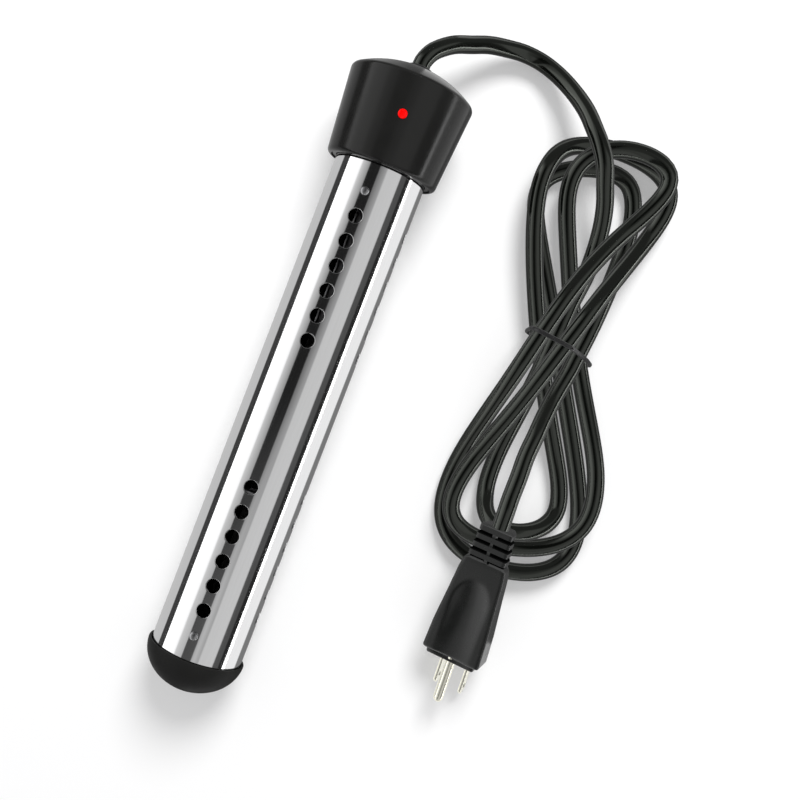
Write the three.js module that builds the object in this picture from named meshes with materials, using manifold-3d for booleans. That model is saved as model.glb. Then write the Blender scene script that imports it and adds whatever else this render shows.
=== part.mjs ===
// Portable immersion water heater. A perforated stainless guard tube stands round a hairpin heating
// element, a domed black foot closes its lower end, and a moulded black cap holds the connections and
// the lamp. The mains cord leaves the top of the cap and is tied in a figure-of-eight hank beside it.
//
// Lengths are millimetres. The heater lies on the plane z = 0 with its long axis along +Y, foot first.
// Inside the heater's own group, s is the distance along its axis from the tip of the foot.
import * as THREE from "three";
import { mergeVertices } from "three/addons/utils/BufferGeometryUtils.js";
import Module from "manifold-3d";

// ---- Fits ----
const GAP = 0.3; // between pieces that touch

// ---- Guard tube ----
const TUBE_R = 21;
const TUBE_WALL = 1;
const TUBE_LENGTH = 245.7;
const HOLE_R = 3.2;
const HOLE_PITCH = 11.5;
const HOLES_IN_GROUP = 6;
const HOLE_ROWS = 4;
const LOWER_HOLES_FROM_TUBE_START = 25.2;
const UPPER_HOLES_FROM_TUBE_END = 37.5;
const ROW_TURN = THREE.MathUtils.degToRad(-4);

// ---- Rivets ----
const RIVET_R = 1.2;
const RIVET_HOLE_R = RIVET_R + GAP;
const RIVET_HEAD_R = 1.9;
const RIVET_HEAD_HEIGHT = 1;
const FOOT_RIVET_FROM_TUBE_START = 13.4;
const TOP_RIVET_FROM_TUBE_END = 26.2;

// ---- Foot ----
const FOOT_LIP_WALL = 1.2;
const FOOT_DOME_HEIGHT = 18.5;
const FOOT_LIP_DEPTH = 2.5;
const SPIGOT_LENGTH = 20;
const SPIGOT_WALL = 2.5;
const FOOT_SKIN = 4;

// ---- Cap ----
const CAP_OVERLAP = 13.3; // shell below the tube's end
const CAP_ABOVE_TUBE = 35.6; // crown above the tube's end
const SHELL_WALL = 3;
const SHELL_RIM_WALL = 2.2;
const CAP_FLARE = 3.1;
const CAP_CORNER_R = 6;
const CAP_DOME_R = 51;
const BASE_WALL = 2;
const BASE_LEDGE = 3.7;
const BASE_LEDGE_INNER_R = 17;
const BASE_RIM_SETBACK = 0.5;
const LAMP_ABOVE_BASE = 4.9;
const LAMP_TURN = THREE.MathUtils.degToRad(5);
const LENS_R = 2.25;
const LED_R = 2;

// ---- Header and potting in the tube's upper end ----
const HEADER_FROM_TUBE_END = 32;
const HEADER_SKIRT = 12;
const HEADER_DISC = 4;
const SKIRT_WALL = 2.1;
const SEAL_THICKNESS = 2.5;
const POTTING_THICKNESS = 5.9;

// ---- Heating element ----
const ELEMENT_R = 4;
const LEG_SPACING = 15;
const ELEMENT_Z = -2;
const ELEMENT_FOOT_CLEARANCE = 12; // hairpin bend centre above the foot's spigot
const SPACER_THICKNESS = 1.5;
const SPACER_HOLE_R = ELEMENT_R + GAP;
const LOWER_SPACER_FROM_TUBE_START = 79;
const UPPER_SPACER_FROM_TUBE_END = 76.7;
const PIN_R = 1.2;
const CRIMP_R = 2.4;
const CRIMP_LENGTH = 7;
const CRIMP_ABOVE_POTTING = 2;
const WIRING_SPACE = 8.2; // from the crimps' ends to the cord's cores

// ---- Thermostat, fuse, earth ----
const WELL_R = 3;
const WELL_WALL = 0.6;
const WELL_Z = 9;
const WELL_DEPTH = 71;
const BULB_R = 2.1;
const BULB_LENGTH = 20;
const CORE_R = 1.2;
const LINK_R = 0.9;
const CAPILLARY_R = 0.5;
const STUD_R = 1.7;
const STUD_Z = -11;

// ---- Cord and its fittings ----
const CORD_D = 8.2;
const CORD_R = CORD_D / 2;
const BUSH_WALL = 1.5;
const BUSH_BORE_R = CORD_R + GAP;
const BUSH_R = BUSH_BORE_R + BUSH_WALL;
const BUSH_FLANGE_R = BUSH_R + 1.7;
const BUSH_LIP = 1.2; // bush above the crown
const CLAMP_SIDE_WALL = 0.6;
const CLAMP_END_WALL = 3.6;
const CLAMP_HEIGHT = 7;
const CORD_BELOW_CLAMP = 1.5;
const SCREW_FROM_BORE = 6.8;
const SCREW_R = 1;
const SCREW_X = CORD_R + GAP + SCREW_FROM_BORE;
const CLAMP_DEPTH = 2 * (CORD_R + GAP + CLAMP_SIDE_WALL);
const CLAMP_WIDTH = 2 * (SCREW_X + CLAMP_END_WALL);
const BOSS_R = 3.4;

// ---- Mains plug, in its own group: +Y runs from the face towards the cord, the earth pin is on +Z ----
const BLADE_SPACING = 12.7;
const BLADE_WIDTH = 6.35;
const BLADE_THICKNESS = 1.5;
const BLADE_REACH = 18.2;
const BLADE_Z = -4.6;
const EARTH_PIN_R = 2.375;
const EARTH_PIN_REACH = 21.4;
const EARTH_PIN_Z = BLADE_Z + 11.9;
const PLUG_NOSE = 2;
const PLUG_ROOT = 7.5;
const PLUG_LENGTH = 62.5;
const PLUG_POSITION = new THREE.Vector3(111.5, -90.6, 14.3);
const PLUG_PITCH = THREE.MathUtils.degToRad(12);
const PLUG_ROLL = THREE.MathUtils.degToRad(-20);
const PLUG_HEADING = THREE.MathUtils.degToRad(3.5);

// ---- Tie ----
const TIE_WIRE_R = 0.7;
const TIE_CLEARANCE = 0.45;
const TIE_SLANT = THREE.MathUtils.degToRad(15);
const TIE_OFFSET = -1;
const TIE_STEPS = 24;

// ---- Mesh fineness ----
const ROUND = 32;
const SMALL_ROUND = 16;
const HOLE_SIDES = 10;
const BAR_SIDES = 12;
const WIRE_SIDES = 8;
const CORD_SIDES = 10;

// ---- Places along the axis that follow from the sizes above ----
const FOOT_R = TUBE_R + GAP + FOOT_LIP_WALL;
const TUBE_START = FOOT_DOME_HEIGHT - FOOT_LIP_DEPTH + GAP;
const TUBE_END = TUBE_START + TUBE_LENGTH;
const TUBE_INNER_R = TUBE_R - TUBE_WALL;
const INSERT_R = TUBE_INNER_R - GAP;
const CAP_RIM = TUBE_END - CAP_OVERLAP;
const CAP_TOP = TUBE_END + CAP_ABOVE_TUBE;
const BASE_R = TUBE_R + GAP + BASE_WALL;
const CAP_BORE_R = BASE_R + GAP;
const CAP_RIM_R = CAP_BORE_R + SHELL_RIM_WALL;
const CAP_TOP_R = CAP_RIM_R + CAP_FLARE;
const DOME_CENTRE = CAP_TOP - CAP_DOME_R;
const CORNER_X = CAP_TOP_R - CAP_CORNER_R;
const CORNER_S = DOME_CENTRE + Math.sqrt((CAP_DOME_R - CAP_CORNER_R) ** 2 - CORNER_X ** 2);
const BASE_TOP = TUBE_END + GAP + BASE_LEDGE;
const HEADER_START = TUBE_END - HEADER_FROM_TUBE_END;
const DISC_START = HEADER_START + HEADER_SKIRT;
const DISC_END = DISC_START + HEADER_DISC;
const SEAL_START = DISC_END + GAP;
const POTTING_START = SEAL_START + SEAL_THICKNESS + GAP;
const POTTING_END = POTTING_START + POTTING_THICKNESS;
const ELEMENT_END = POTTING_END - 3;
const LAMP_S = BASE_TOP + LAMP_ABOVE_BASE;
const CRIMP_START = POTTING_END + CRIMP_ABOVE_POTTING;
const CORD_START = CRIMP_START + CRIMP_LENGTH + WIRING_SPACE + GAP;
const CLAMP_START = CORD_START + CORD_BELOW_CLAMP;
const CLAMP_TOP = CLAMP_START + CLAMP_HEIGHT;
const TILT = Math.atan2(CAP_TOP_R - FOOT_R, CORNER_S - FOOT_DOME_HEIGHT);

const wasm = await Module();
wasm.setup();

// ---- Solids ----

// A closed geometry as a solid that can be joined and cut.
function solid(geometry) {
  const bare = geometry.index ? geometry.toNonIndexed() : geometry.clone();
  for (const name of Object.keys(bare.attributes)) {
    if (name !== "position") bare.deleteAttribute(name);
  }
  const merged = mergeVertices(bare, 1e-4);
  return new wasm.Manifold(
    new wasm.Mesh({
      numProp: 3,
      vertProperties: merged.attributes.position.array,
      triVerts: new Uint32Array(merged.index.array),
    }),
  );
}

function geometryOf(body) {
  const mesh = body.getMesh();
  const stride = mesh.numProp;
  const positions = new Float32Array(mesh.numVert * 3);
  for (let i = 0; i < mesh.numVert; i++) {
    positions.set(mesh.vertProperties.subarray(i * stride, i * stride + 3), i * 3);
  }
  const geometry = new THREE.BufferGeometry();
  geometry.setAttribute("position", new THREE.BufferAttribute(positions, 3));
  geometry.setIndex(new THREE.BufferAttribute(new Uint32Array(mesh.triVerts), 1));
  geometry.computeVertexNormals();
  return geometry;
}

function cut(geometry, cutters) {
  return geometryOf(cutters.reduce((body, cutter) => body.subtract(solid(cutter)), solid(geometry)));
}

function join(geometry, others) {
  return geometryOf(others.reduce((body, other) => body.add(solid(other)), solid(geometry)));
}

// A body turned about the Y axis from [radius, s] points, closed on itself unless it starts on the axis.
function turned(profile, sides = ROUND) {
  const closed = profile[0][0] > 0 ? [...profile, profile[0]] : profile;
  let area = 0;
  for (let i = 0; i < closed.length; i++) {
    const [x0, y0] = closed[i];
    const [x1, y1] = closed[(i + 1) % closed.length];
    area += x0 * y1 - x1 * y0;
  }
  const ordered = area > 0 ? closed : [...closed].reverse();
  return new THREE.LatheGeometry(
    ordered.map(([r, s]) => new THREE.Vector2(r, s)),
    sides,
  );
}

function disc(radius, from, to, sides = ROUND) {
  return turned([[0, from], [radius, from], [radius, to], [0, to]], sides);
}

function sleeve(inner, outer, from, to, sides = ROUND) {
  return turned([[inner, from], [outer, from], [outer, to], [inner, to]], sides);
}

// A round bar parallel to the axis, at x and z, from s = from to s = to.
function bar(radius, from, to, x = 0, z = 0, sides = BAR_SIDES) {
  const geometry = new THREE.CylinderGeometry(radius, radius, to - from, sides);
  geometry.translate(x, (from + to) / 2, z);
  return geometry;
}

// A round bar that points away from the axis at s, turned round it from +Z, between two radii.
function radialBar(radius, s, turn, from, to, sides = HOLE_SIDES) {
  const geometry = new THREE.CylinderGeometry(radius, radius, to - from, sides);
  geometry.rotateX(Math.PI / 2);
  geometry.translate(0, 0, (from + to) / 2);
  geometry.rotateY(turn);
  geometry.translate(0, s, 0);
  return geometry;
}

function arc(centreR, centreS, radius, fromAngle, toAngle, steps) {
  const points = [];
  for (let i = 0; i <= steps; i++) {
    const angle = fromAngle + ((toAngle - fromAngle) * i) / steps;
    points.push([centreR + radius * Math.cos(angle), centreS + radius * Math.sin(angle)]);
  }
  return points;
}

// A body skinned over rings that all have the same number of points, with both ends closed.
function skinned(rings, looped = false) {
  const sides = rings[0].length;
  const positions = [];
  const faces = [];
  for (const ring of rings) {
    for (const p of ring) positions.push(p.x, p.y, p.z);
  }
  const spans = looped ? rings.length : rings.length - 1;
  for (let i = 0; i < spans; i++) {
    const next = (i + 1) % rings.length;
    for (let j = 0; j < sides; j++) {
      const k = (j + 1) % sides;
      const a = i * sides + j;
      const b = i * sides + k;
      const c = next * sides + k;
      const d = next * sides + j;
      faces.push(a, b, c, a, c, d);
    }
  }
  if (!looped) {
    const last = (rings.length - 1) * sides;
    for (let j = 1; j < sides - 1; j++) {
      faces.push(0, j + 1, j);
      faces.push(last, last + j, last + j + 1);
    }
  }
  const geometry = new THREE.BufferGeometry();
  geometry.setAttribute("position", new THREE.Float32BufferAttribute(positions, 3));
  geometry.setIndex(faces);
  geometry.computeVertexNormals();
  return geometry;
}

// Rings of a round tube along points; each ring's frame is carried on from the one before it.
function tubeRings(points, radius, sides, looped = false, start = new THREE.Vector3(0, 0, 1)) {
  const count = points.length;
  const rings = [];
  const side = start.clone();
  for (let i = 0; i < count; i++) {
    const before = points[looped ? (i + count - 1) % count : Math.max(i - 1, 0)];
    const after = points[looped ? (i + 1) % count : Math.min(i + 1, count - 1)];
    const along = after.clone().sub(before).normalize();
    side.addScaledVector(along, -side.dot(along)).normalize();
    const across = along.clone().cross(side);
    const ring = [];
    for (let j = 0; j < sides; j++) {
      const angle = (2 * Math.PI * (j + 0.5)) / sides;
      ring.push(
        points[i]
          .clone()
          .addScaledVector(side, radius * Math.cos(angle))
          .addScaledVector(across, radius * Math.sin(angle)),
      );
    }
    rings.push(ring);
  }
  return rings;
}

// A round cord along a smooth route through points.
function tube(points, radius, sides, steps) {
  const section = new THREE.Shape();
  for (let j = 0; j < sides; j++) {
    const angle = (2 * Math.PI * j) / sides;
    const x = radius * Math.cos(angle);
    const y = radius * Math.sin(angle);
    if (j === 0) section.moveTo(x, y);
    else section.lineTo(x, y);
  }
  section.closePath();
  const route = new THREE.CatmullRomCurve3(points, false, "catmullrom", 0.5);
  return new THREE.ExtrudeGeometry(section, { steps, extrudePath: route, bevelEnabled: false });
}

function vectors(list) {
  return list.map(([x, y, z]) => new THREE.Vector3(x, y, z));
}

const group = new THREE.Group();
const heater = new THREE.Group();
group.add(heater);
heater.rotation.x = TILT;
const halfLength = ((CAP_TOP + BUSH_LIP) * Math.cos(TILT)) / 2;
const footAxisHeight = FOOT_R * Math.cos(TILT) - FOOT_DOME_HEIGHT * Math.sin(TILT);
heater.position.set(0, -halfLength, footAxisHeight);
heater.updateMatrixWorld(true);

function piece(parent, name, geometry, color, roughness, metalness) {
  const material = new THREE.MeshStandardMaterial({ color, roughness, metalness });
  const mesh = new THREE.Mesh(geometry, material);
  mesh.name = name;
  parent.add(mesh);
  return mesh;
}

const STEEL = [0xc9ccd0, 0.22, 1];
const DULL_STEEL = [0x8e9196, 0.45, 1];
const BRASS = [0xc7a55a, 0.35, 1];
const CAP_PLASTIC = [0x26272a, 0.55, 0];
const RUBBER = [0x1b1c1b, 0.5, 0];
const COPPER = [0xb87345, 0.4, 1];

// ---- Guard tube: a drawn stainless tube with four rows of punched water holes ----
const holeCentres = [];
for (let i = 0; i < HOLES_IN_GROUP; i++) {
  holeCentres.push(TUBE_START + LOWER_HOLES_FROM_TUBE_START + i * HOLE_PITCH);
  holeCentres.push(TUBE_END - UPPER_HOLES_FROM_TUBE_END - i * HOLE_PITCH);
}
const footRivetS = TUBE_START + FOOT_RIVET_FROM_TUBE_START;
const topRivetS = TUBE_END - TOP_RIVET_FROM_TUBE_END;
const rivetPlaces = [
  ["foot_rivet_front", footRivetS, ROW_TURN],
  ["foot_rivet_back", footRivetS, ROW_TURN + Math.PI],
  ["top_rivet_front", topRivetS, ROW_TURN],
  ["top_rivet_back", topRivetS, ROW_TURN + Math.PI],
];
const tubeCutters = [];
for (let row = 0; row < HOLE_ROWS; row++) {
  const turn = ROW_TURN + (row * 2 * Math.PI) / HOLE_ROWS;
  for (const s of holeCentres) {
    tubeCutters.push(radialBar(HOLE_R, s, turn, TUBE_INNER_R - 3, TUBE_R + 3));
  }
}
for (const [, s, turn] of rivetPlaces) {
  tubeCutters.push(radialBar(RIVET_HOLE_R, s, turn, TUBE_INNER_R - 3, TUBE_R + 3));
}
piece(heater, "guard_tube", cut(sleeve(TUBE_INNER_R, TUBE_R, TUBE_START, TUBE_END), tubeCutters), ...STEEL);

// ---- Foot: a domed moulded stopper whose spigot is riveted into the tube ----
const footProfile = [];
const DOME_STEPS = 7;
for (let i = 0; i <= DOME_STEPS; i++) {
  const angle = (i * Math.PI) / 2 / DOME_STEPS;
  footProfile.push([FOOT_R * Math.sin(angle), FOOT_DOME_HEIGHT * (1 - Math.cos(angle))]);
}
footProfile[0][0] = 0;
const spigotEnd = TUBE_START + SPIGOT_LENGTH;
const spigotBoreR = INSERT_R - SPIGOT_WALL;
footProfile.push([TUBE_R + GAP, FOOT_DOME_HEIGHT]);
footProfile.push([TUBE_R + GAP, TUBE_START - GAP]);
footProfile.push([INSERT_R, TUBE_START - GAP]);
footProfile.push([INSERT_R, spigotEnd]);
footProfile.push([spigotBoreR, spigotEnd]);
const FOOT_BORE_STEPS = 4;
for (let i = 0; i <= FOOT_BORE_STEPS; i++) {
  const angle = ((FOOT_BORE_STEPS - i) * Math.PI) / 2 / FOOT_BORE_STEPS;
  const s = FOOT_DOME_HEIGHT - (FOOT_DOME_HEIGHT - FOOT_SKIN) * Math.cos(angle);
  footProfile.push([spigotBoreR * Math.sin(angle), s]);
}
footProfile[footProfile.length - 1][0] = 0;
const footCutters = [0, Math.PI].map((turn) =>
  radialBar(RIVET_HOLE_R, footRivetS, ROW_TURN + turn, spigotBoreR - 4, INSERT_R + 4),
);
piece(heater, "foot_cap", cut(turned(footProfile), footCutters), ...CAP_PLASTIC);

// ---- Header plate: a steel cup in the tube's upper end that carries the element, well and earth stud ----
const legX = LEG_SPACING / 2;
const passages = [
  [ELEMENT_R + GAP, -legX, ELEMENT_Z],
  [ELEMENT_R + GAP, legX, ELEMENT_Z],
  [WELL_R + GAP, 0, WELL_Z],
  [STUD_R + GAP, 0, STUD_Z],
];
const skirtInnerR = INSERT_R - SKIRT_WALL;
const headerBlank = turned([
  [0, DISC_START],
  [skirtInnerR, DISC_START],
  [skirtInnerR, HEADER_START],
  [INSERT_R, HEADER_START],
  [INSERT_R, DISC_END],
  [0, DISC_END],
]);
const headerCutters = passages.map(([r, x, z]) => bar(r, DISC_START - 2, DISC_END + 2, x, z));
for (const turn of [0, Math.PI]) {
  headerCutters.push(radialBar(RIVET_HOLE_R, topRivetS, ROW_TURN + turn, skirtInnerR - 3, INSERT_R + 3));
}
piece(heater, "header_plate", cut(headerBlank, headerCutters), ...DULL_STEEL);

// ---- Header seal: a rubber ring squeezed between the plate and the potting ----
piece(
  heater,
  "header_seal",
  sleeve(INSERT_R - 3.2, INSERT_R, SEAL_START, SEAL_START + SEAL_THICKNESS),
  0x2a2a2a,
  0.8,
  0,
);

// ---- Potting: the cast resin disc that closes the tube over the plate ----
const pottingCutters = passages.map(([r, x, z]) => bar(r, POTTING_START - 2, POTTING_END + 2, x, z));
piece(
  heater,
  "potting_disc",
  cut(disc(INSERT_R, POTTING_START, POTTING_END), pottingCutters),
  0x1d1f24,
  0.4,
  0,
);

// ---- Rivets: domed heads outside, upset heads inside, holding the foot and the header plate ----
for (const [name, s, turn] of rivetPlaces) {
  const inside = (name.startsWith("foot") ? spigotBoreR : skirtInnerR) - GAP;
  const outside = TUBE_R + GAP;
  const rivet = turned(
    [
      [0, inside - RIVET_HEAD_HEIGHT],
      [RIVET_HEAD_R * 0.8, inside - RIVET_HEAD_HEIGHT],
      [RIVET_HEAD_R, inside - 0.2],
      [RIVET_R, inside - 0.2],
      [RIVET_R, outside],
      [RIVET_HEAD_R, outside],
      [RIVET_HEAD_R * 0.9, outside + 0.5],
      [RIVET_HEAD_R * 0.5, outside + RIVET_HEAD_HEIGHT * 0.9],
      [0, outside + RIVET_HEAD_HEIGHT],
    ],
    BAR_SIDES,
  );
  const mesh = piece(heater, name, rivet, ...STEEL);
  mesh.rotation.set(Math.PI / 2, turn, 0, "YXZ");
  mesh.position.set(0, s, 0);
}

// ---- Heating element: a metal-sheathed hairpin, two legs and one tight bend ----
const bendS = spigotEnd + ELEMENT_FOOT_CLEARANCE;
const elementRoute = [new THREE.Vector3(-legX, ELEMENT_END, ELEMENT_Z)];
const BEND_STEPS = 8;
for (let i = 0; i <= BEND_STEPS; i++) {
  const angle = Math.PI + (i * Math.PI) / BEND_STEPS;
  elementRoute.push(new THREE.Vector3(legX * Math.cos(angle), bendS + legX * Math.sin(angle), ELEMENT_Z));
}
elementRoute.push(new THREE.Vector3(legX, ELEMENT_END, ELEMENT_Z));
piece(heater, "heating_element", skinned(tubeRings(elementRoute, ELEMENT_R, BAR_SIDES)), 0x6d655c, 0.5, 1);

// ---- Element spacers: punched steel discs that keep the legs off the tube ----
const spacers = [
  ["element_spacer_lower", TUBE_START + LOWER_SPACER_FROM_TUBE_START],
  ["element_spacer_upper", TUBE_END - UPPER_SPACER_FROM_TUBE_END],
];
for (const [name, s] of spacers) {
  const cutters = [
    bar(SPACER_HOLE_R, s - 1, s + SPACER_THICKNESS + 1, -legX, ELEMENT_Z),
    bar(SPACER_HOLE_R, s - 1, s + SPACER_THICKNESS + 1, legX, ELEMENT_Z),
    bar(WELL_R + GAP, s - 1, s + SPACER_THICKNESS + 1, 0, WELL_Z),
    bar(WELL_R + GAP, s - 1, s + SPACER_THICKNESS + 1, 0, STUD_Z),
  ];
  piece(heater, name, cut(disc(INSERT_R, s, s + SPACER_THICKNESS), cutters), ...DULL_STEEL);
}

// ---- Element ends: ceramic bushes, terminal pins and the crimp sleeves on them ----
const bushStart = ELEMENT_END + GAP;
for (const [side, x] of [["left", -legX], ["right", legX]]) {
  const bush = sleeve(PIN_R + GAP, ELEMENT_R - 0.2, bushStart, POTTING_END + 1, SMALL_ROUND);
  const ceramic = piece(heater, "element_bush_" + side, bush, 0xe9e4d6, 0.6, 0);
  const pin = disc(PIN_R, bushStart, CRIMP_START + 3, SMALL_ROUND);
  const terminal = piece(heater, "terminal_pin_" + side, pin, ...DULL_STEEL);
  const crimpBody = sleeve(PIN_R + GAP, CRIMP_R, CRIMP_START, CRIMP_START + CRIMP_LENGTH, SMALL_ROUND);
  const crimp = piece(heater, "crimp_sleeve_" + side, crimpBody, ...COPPER);
  for (const mesh of [ceramic, terminal, crimp]) mesh.position.set(x, 0, ELEMENT_Z);
}

// ---- Thermowell: a closed steel pocket beside the element, with the sensing bulb in it ----
const wellEnd = POTTING_START + 0.9;
const wellStart = wellEnd - WELL_DEPTH - 4;
const well = turned(
  [
    [0, wellStart],
    [WELL_R - 1, wellStart],
    [WELL_R, wellStart + 1],
    [WELL_R, wellEnd],
    [WELL_R - WELL_WALL, wellEnd],
    [WELL_R - WELL_WALL, wellStart + 2],
    [0, wellStart + 2],
  ],
  SMALL_ROUND,
);
piece(heater, "thermowell", well, ...STEEL).position.set(0, 0, WELL_Z);
const bulbStart = wellStart + 2 + GAP;
const bulbEnd = bulbStart + BULB_LENGTH;
const bulb = disc(BULB_R, bulbStart, bulbEnd, SMALL_ROUND);
piece(heater, "thermostat_bulb", bulb, ...COPPER).position.set(0, 0, WELL_Z);

// ---- Earth stud with its ring terminal and nut ----
const lugStart = POTTING_END + GAP;
const LUG_THICKNESS = 1;
const nutStart = lugStart + LUG_THICKNESS + GAP;
const NUT_HEIGHT = 2.6;
const stud = turned(
  [
    [0, DISC_START - 2 - GAP],
    [STUD_R + 1.3, DISC_START - 2 - GAP],
    [STUD_R + 1.3, DISC_START - GAP],
    [STUD_R, DISC_START - GAP],
    [STUD_R, nutStart + NUT_HEIGHT + 1.5],
    [0, nutStart + NUT_HEIGHT + 1.5],
  ],
  SMALL_ROUND,
);
piece(heater, "earth_stud", stud, ...BRASS).position.set(0, 0, STUD_Z);
const BARREL_Z = 5.4;
const BARREL_R = 1.9;
const BARREL_HEIGHT = 6.5;
const lugPlate = join(disc(STUD_R + 2.3, lugStart, lugStart + LUG_THICKNESS, SMALL_ROUND), [
  bar(BARREL_R, lugStart, lugStart + BARREL_HEIGHT, 0, BARREL_Z),
  new THREE.BoxGeometry(3, LUG_THICKNESS, BARREL_Z).translate(
    0,
    lugStart + LUG_THICKNESS / 2,
    BARREL_Z / 2,
  ),
]);
const lug = cut(lugPlate, [
  bar(STUD_R + GAP, lugStart - 1, lugStart + BARREL_HEIGHT + 1),
  bar(CORE_R + GAP, lugStart + 2, lugStart + BARREL_HEIGHT + 1, 0, BARREL_Z),
]);
piece(heater, "earth_lug", lug, ...COPPER).position.set(0, 0, STUD_Z);
const HEX_SIDES = 6;
const nutBlank = disc(2.9, nutStart, nutStart + NUT_HEIGHT, HEX_SIDES);
const nut = cut(nutBlank, [bar(STUD_R + GAP, nutStart - 1, nutStart + NUT_HEIGHT + 1, 0, 0, SMALL_ROUND)]);
piece(heater, "earth_nut", nut, ...BRASS).position.set(0, 0, STUD_Z);

// ---- Cap base: a moulded ring cup seated on the tube's end, to which the shell is bonded ----
const baseStart = CAP_RIM + BASE_RIM_SETBACK;
const capBase = turned([
  [TUBE_R + GAP, baseStart],
  [BASE_R, baseStart],
  [BASE_R, BASE_TOP],
  [BASE_LEDGE_INNER_R, BASE_TOP],
  [BASE_LEDGE_INNER_R, TUBE_END + GAP],
  [TUBE_R + GAP, TUBE_END + GAP],
]);
piece(heater, "cap_base", capBase, ...CAP_PLASTIC);

// ---- Cap shell: flared sides, rounded shoulder and low dome, with screw bosses inside ----
const RIM_CORNER = SHELL_RIM_WALL;
const CORNER_TURN = Math.atan2(CORNER_S - DOME_CENTRE, CORNER_X);
const exitR = BUSH_R + GAP;
const domeInnerR = CAP_DOME_R - SHELL_WALL;
const shellProfile = [
  ...arc(CAP_RIM_R - RIM_CORNER, CAP_RIM + RIM_CORNER, RIM_CORNER, -Math.PI / 2, 0, 3),
  ...arc(CORNER_X, CORNER_S, CAP_CORNER_R, 0, CORNER_TURN, 4),
  ...arc(0, DOME_CENTRE, CAP_DOME_R, CORNER_TURN, Math.acos(exitR / CAP_DOME_R), 5).slice(1),
  ...arc(0, DOME_CENTRE, domeInnerR, Math.acos(exitR / domeInnerR), CORNER_TURN, 3),
  ...arc(CORNER_X, CORNER_S, CAP_CORNER_R - SHELL_WALL, CORNER_TURN, 0, 2).slice(1),
  [CAP_BORE_R + 0.7, BASE_TOP + 2],
  [CAP_BORE_R, BASE_TOP + 2],
];
const bossStart = CLAMP_TOP + GAP;
const bossEnd = CAP_TOP - SHELL_WALL - 0.5;
const lampCutter = radialBar(LENS_R + GAP, LAMP_S, LAMP_TURN, CAP_BORE_R - 2, CAP_TOP_R + 4, SMALL_ROUND);
const shellBody = join(turned(shellProfile), [
  bar(BOSS_R, bossStart, bossEnd, -SCREW_X, 0),
  bar(BOSS_R, bossStart, bossEnd, SCREW_X, 0),
]);
const pilotEnd = bossEnd - 4;
const shellCutters = [
  lampCutter,
  bar(SCREW_R + GAP, bossStart - 1, pilotEnd, -SCREW_X, 0),
  bar(SCREW_R + GAP, bossStart - 1, pilotEnd, SCREW_X, 0),
];
piece(heater, "cap_shell", cut(shellBody, shellCutters), ...CAP_PLASTIC);

// ---- Cord clamp: a nylon block on the cord, screwed up to the shell's two bosses ----
const clampBlank = new THREE.BoxGeometry(CLAMP_WIDTH, CLAMP_HEIGHT, CLAMP_DEPTH);
clampBlank.translate(0, CLAMP_START + CLAMP_HEIGHT / 2, 0);
const clamp = cut(clampBlank, [
  bar(CORD_R + GAP, CLAMP_START - 1, CLAMP_TOP + 1, 0, 0, SMALL_ROUND),
  bar(SCREW_R + GAP, CLAMP_START - 1, CLAMP_TOP + 1, -SCREW_X, 0),
  bar(SCREW_R + GAP, CLAMP_START - 1, CLAMP_TOP + 1, SCREW_X, 0),
]);
piece(heater, "cord_clamp", clamp, 0xd8d5c8, 0.6, 0);
const SCREW_HEAD_HEIGHT = 2;
const SCREW_HEAD_R = 2.4;
for (const [side, x] of [["left", -SCREW_X], ["right", SCREW_X]]) {
  const headEnd = CLAMP_START - GAP;
  const screw = turned(
    [
      [0, headEnd - SCREW_HEAD_HEIGHT],
      [SCREW_HEAD_R - 0.6, headEnd - SCREW_HEAD_HEIGHT],
      [SCREW_HEAD_R, headEnd - SCREW_HEAD_HEIGHT + 0.8],
      [SCREW_HEAD_R, headEnd],
      [SCREW_R, headEnd],
      [SCREW_R, pilotEnd - 1.5],
      [0, pilotEnd - 0.5],
    ],
    BAR_SIDES,
  );
  piece(heater, "clamp_screw_" + side, screw, ...DULL_STEEL).position.set(x, 0, 0);
}

// ---- Cord bush: the flanged rubber sleeve in the cap's crown ----
const flangeEnd = DOME_CENTRE + Math.sqrt(domeInnerR ** 2 - BUSH_FLANGE_R ** 2) - GAP;
const bushBody = turned(
  [
    [BUSH_BORE_R, CLAMP_TOP + 2],
    [BUSH_R, CLAMP_TOP + 2],
    [BUSH_R, flangeEnd - 2.2],
    [BUSH_FLANGE_R, flangeEnd - 2.2],
    [BUSH_FLANGE_R, flangeEnd],
    [BUSH_R, flangeEnd],
    [BUSH_R, CAP_TOP + BUSH_LIP - 0.8],
    [BUSH_R - 0.8, CAP_TOP + BUSH_LIP],
    [BUSH_BORE_R, CAP_TOP + BUSH_LIP],
  ],
  24,
);
piece(heater, "cord_bush", bushBody, ...RUBBER);

// ---- Lamp: red lens in the shell's side, light-emitting diode behind it on a small board ----
const BOARD_R = 15.5;
const BOARD_THICKNESS = 1.2;
const LED_START = BOARD_R + BOARD_THICKNESS / 2 + GAP;
const LED_END = CAP_BORE_R - 1.4;
const LENS_START = LED_END + 0.4;
const flareStart = CAP_RIM + RIM_CORNER;
const wallAtLamp = CAP_RIM_R + (CAP_FLARE * (LAMP_S - flareStart)) / (CORNER_S - flareStart);
const lensBody = turned(
  [
    [0, LENS_START],
    [LENS_R, LENS_START],
    [LENS_R, wallAtLamp + 0.2],
    [LENS_R * 0.8, wallAtLamp + 0.6],
    [0, wallAtLamp + 0.8],
  ],
  SMALL_ROUND,
);
const ledBody = turned(
  [
    [0, LED_START],
    [LED_R + 0.3, LED_START],
    [LED_R + 0.3, LED_START + 0.8],
    [LED_R, LED_START + 0.8],
    [LED_R, LED_END - 1.2],
    [LED_R * 0.7, LED_END - 0.3],
    [0, LED_END],
  ],
  SMALL_ROUND,
);
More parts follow.
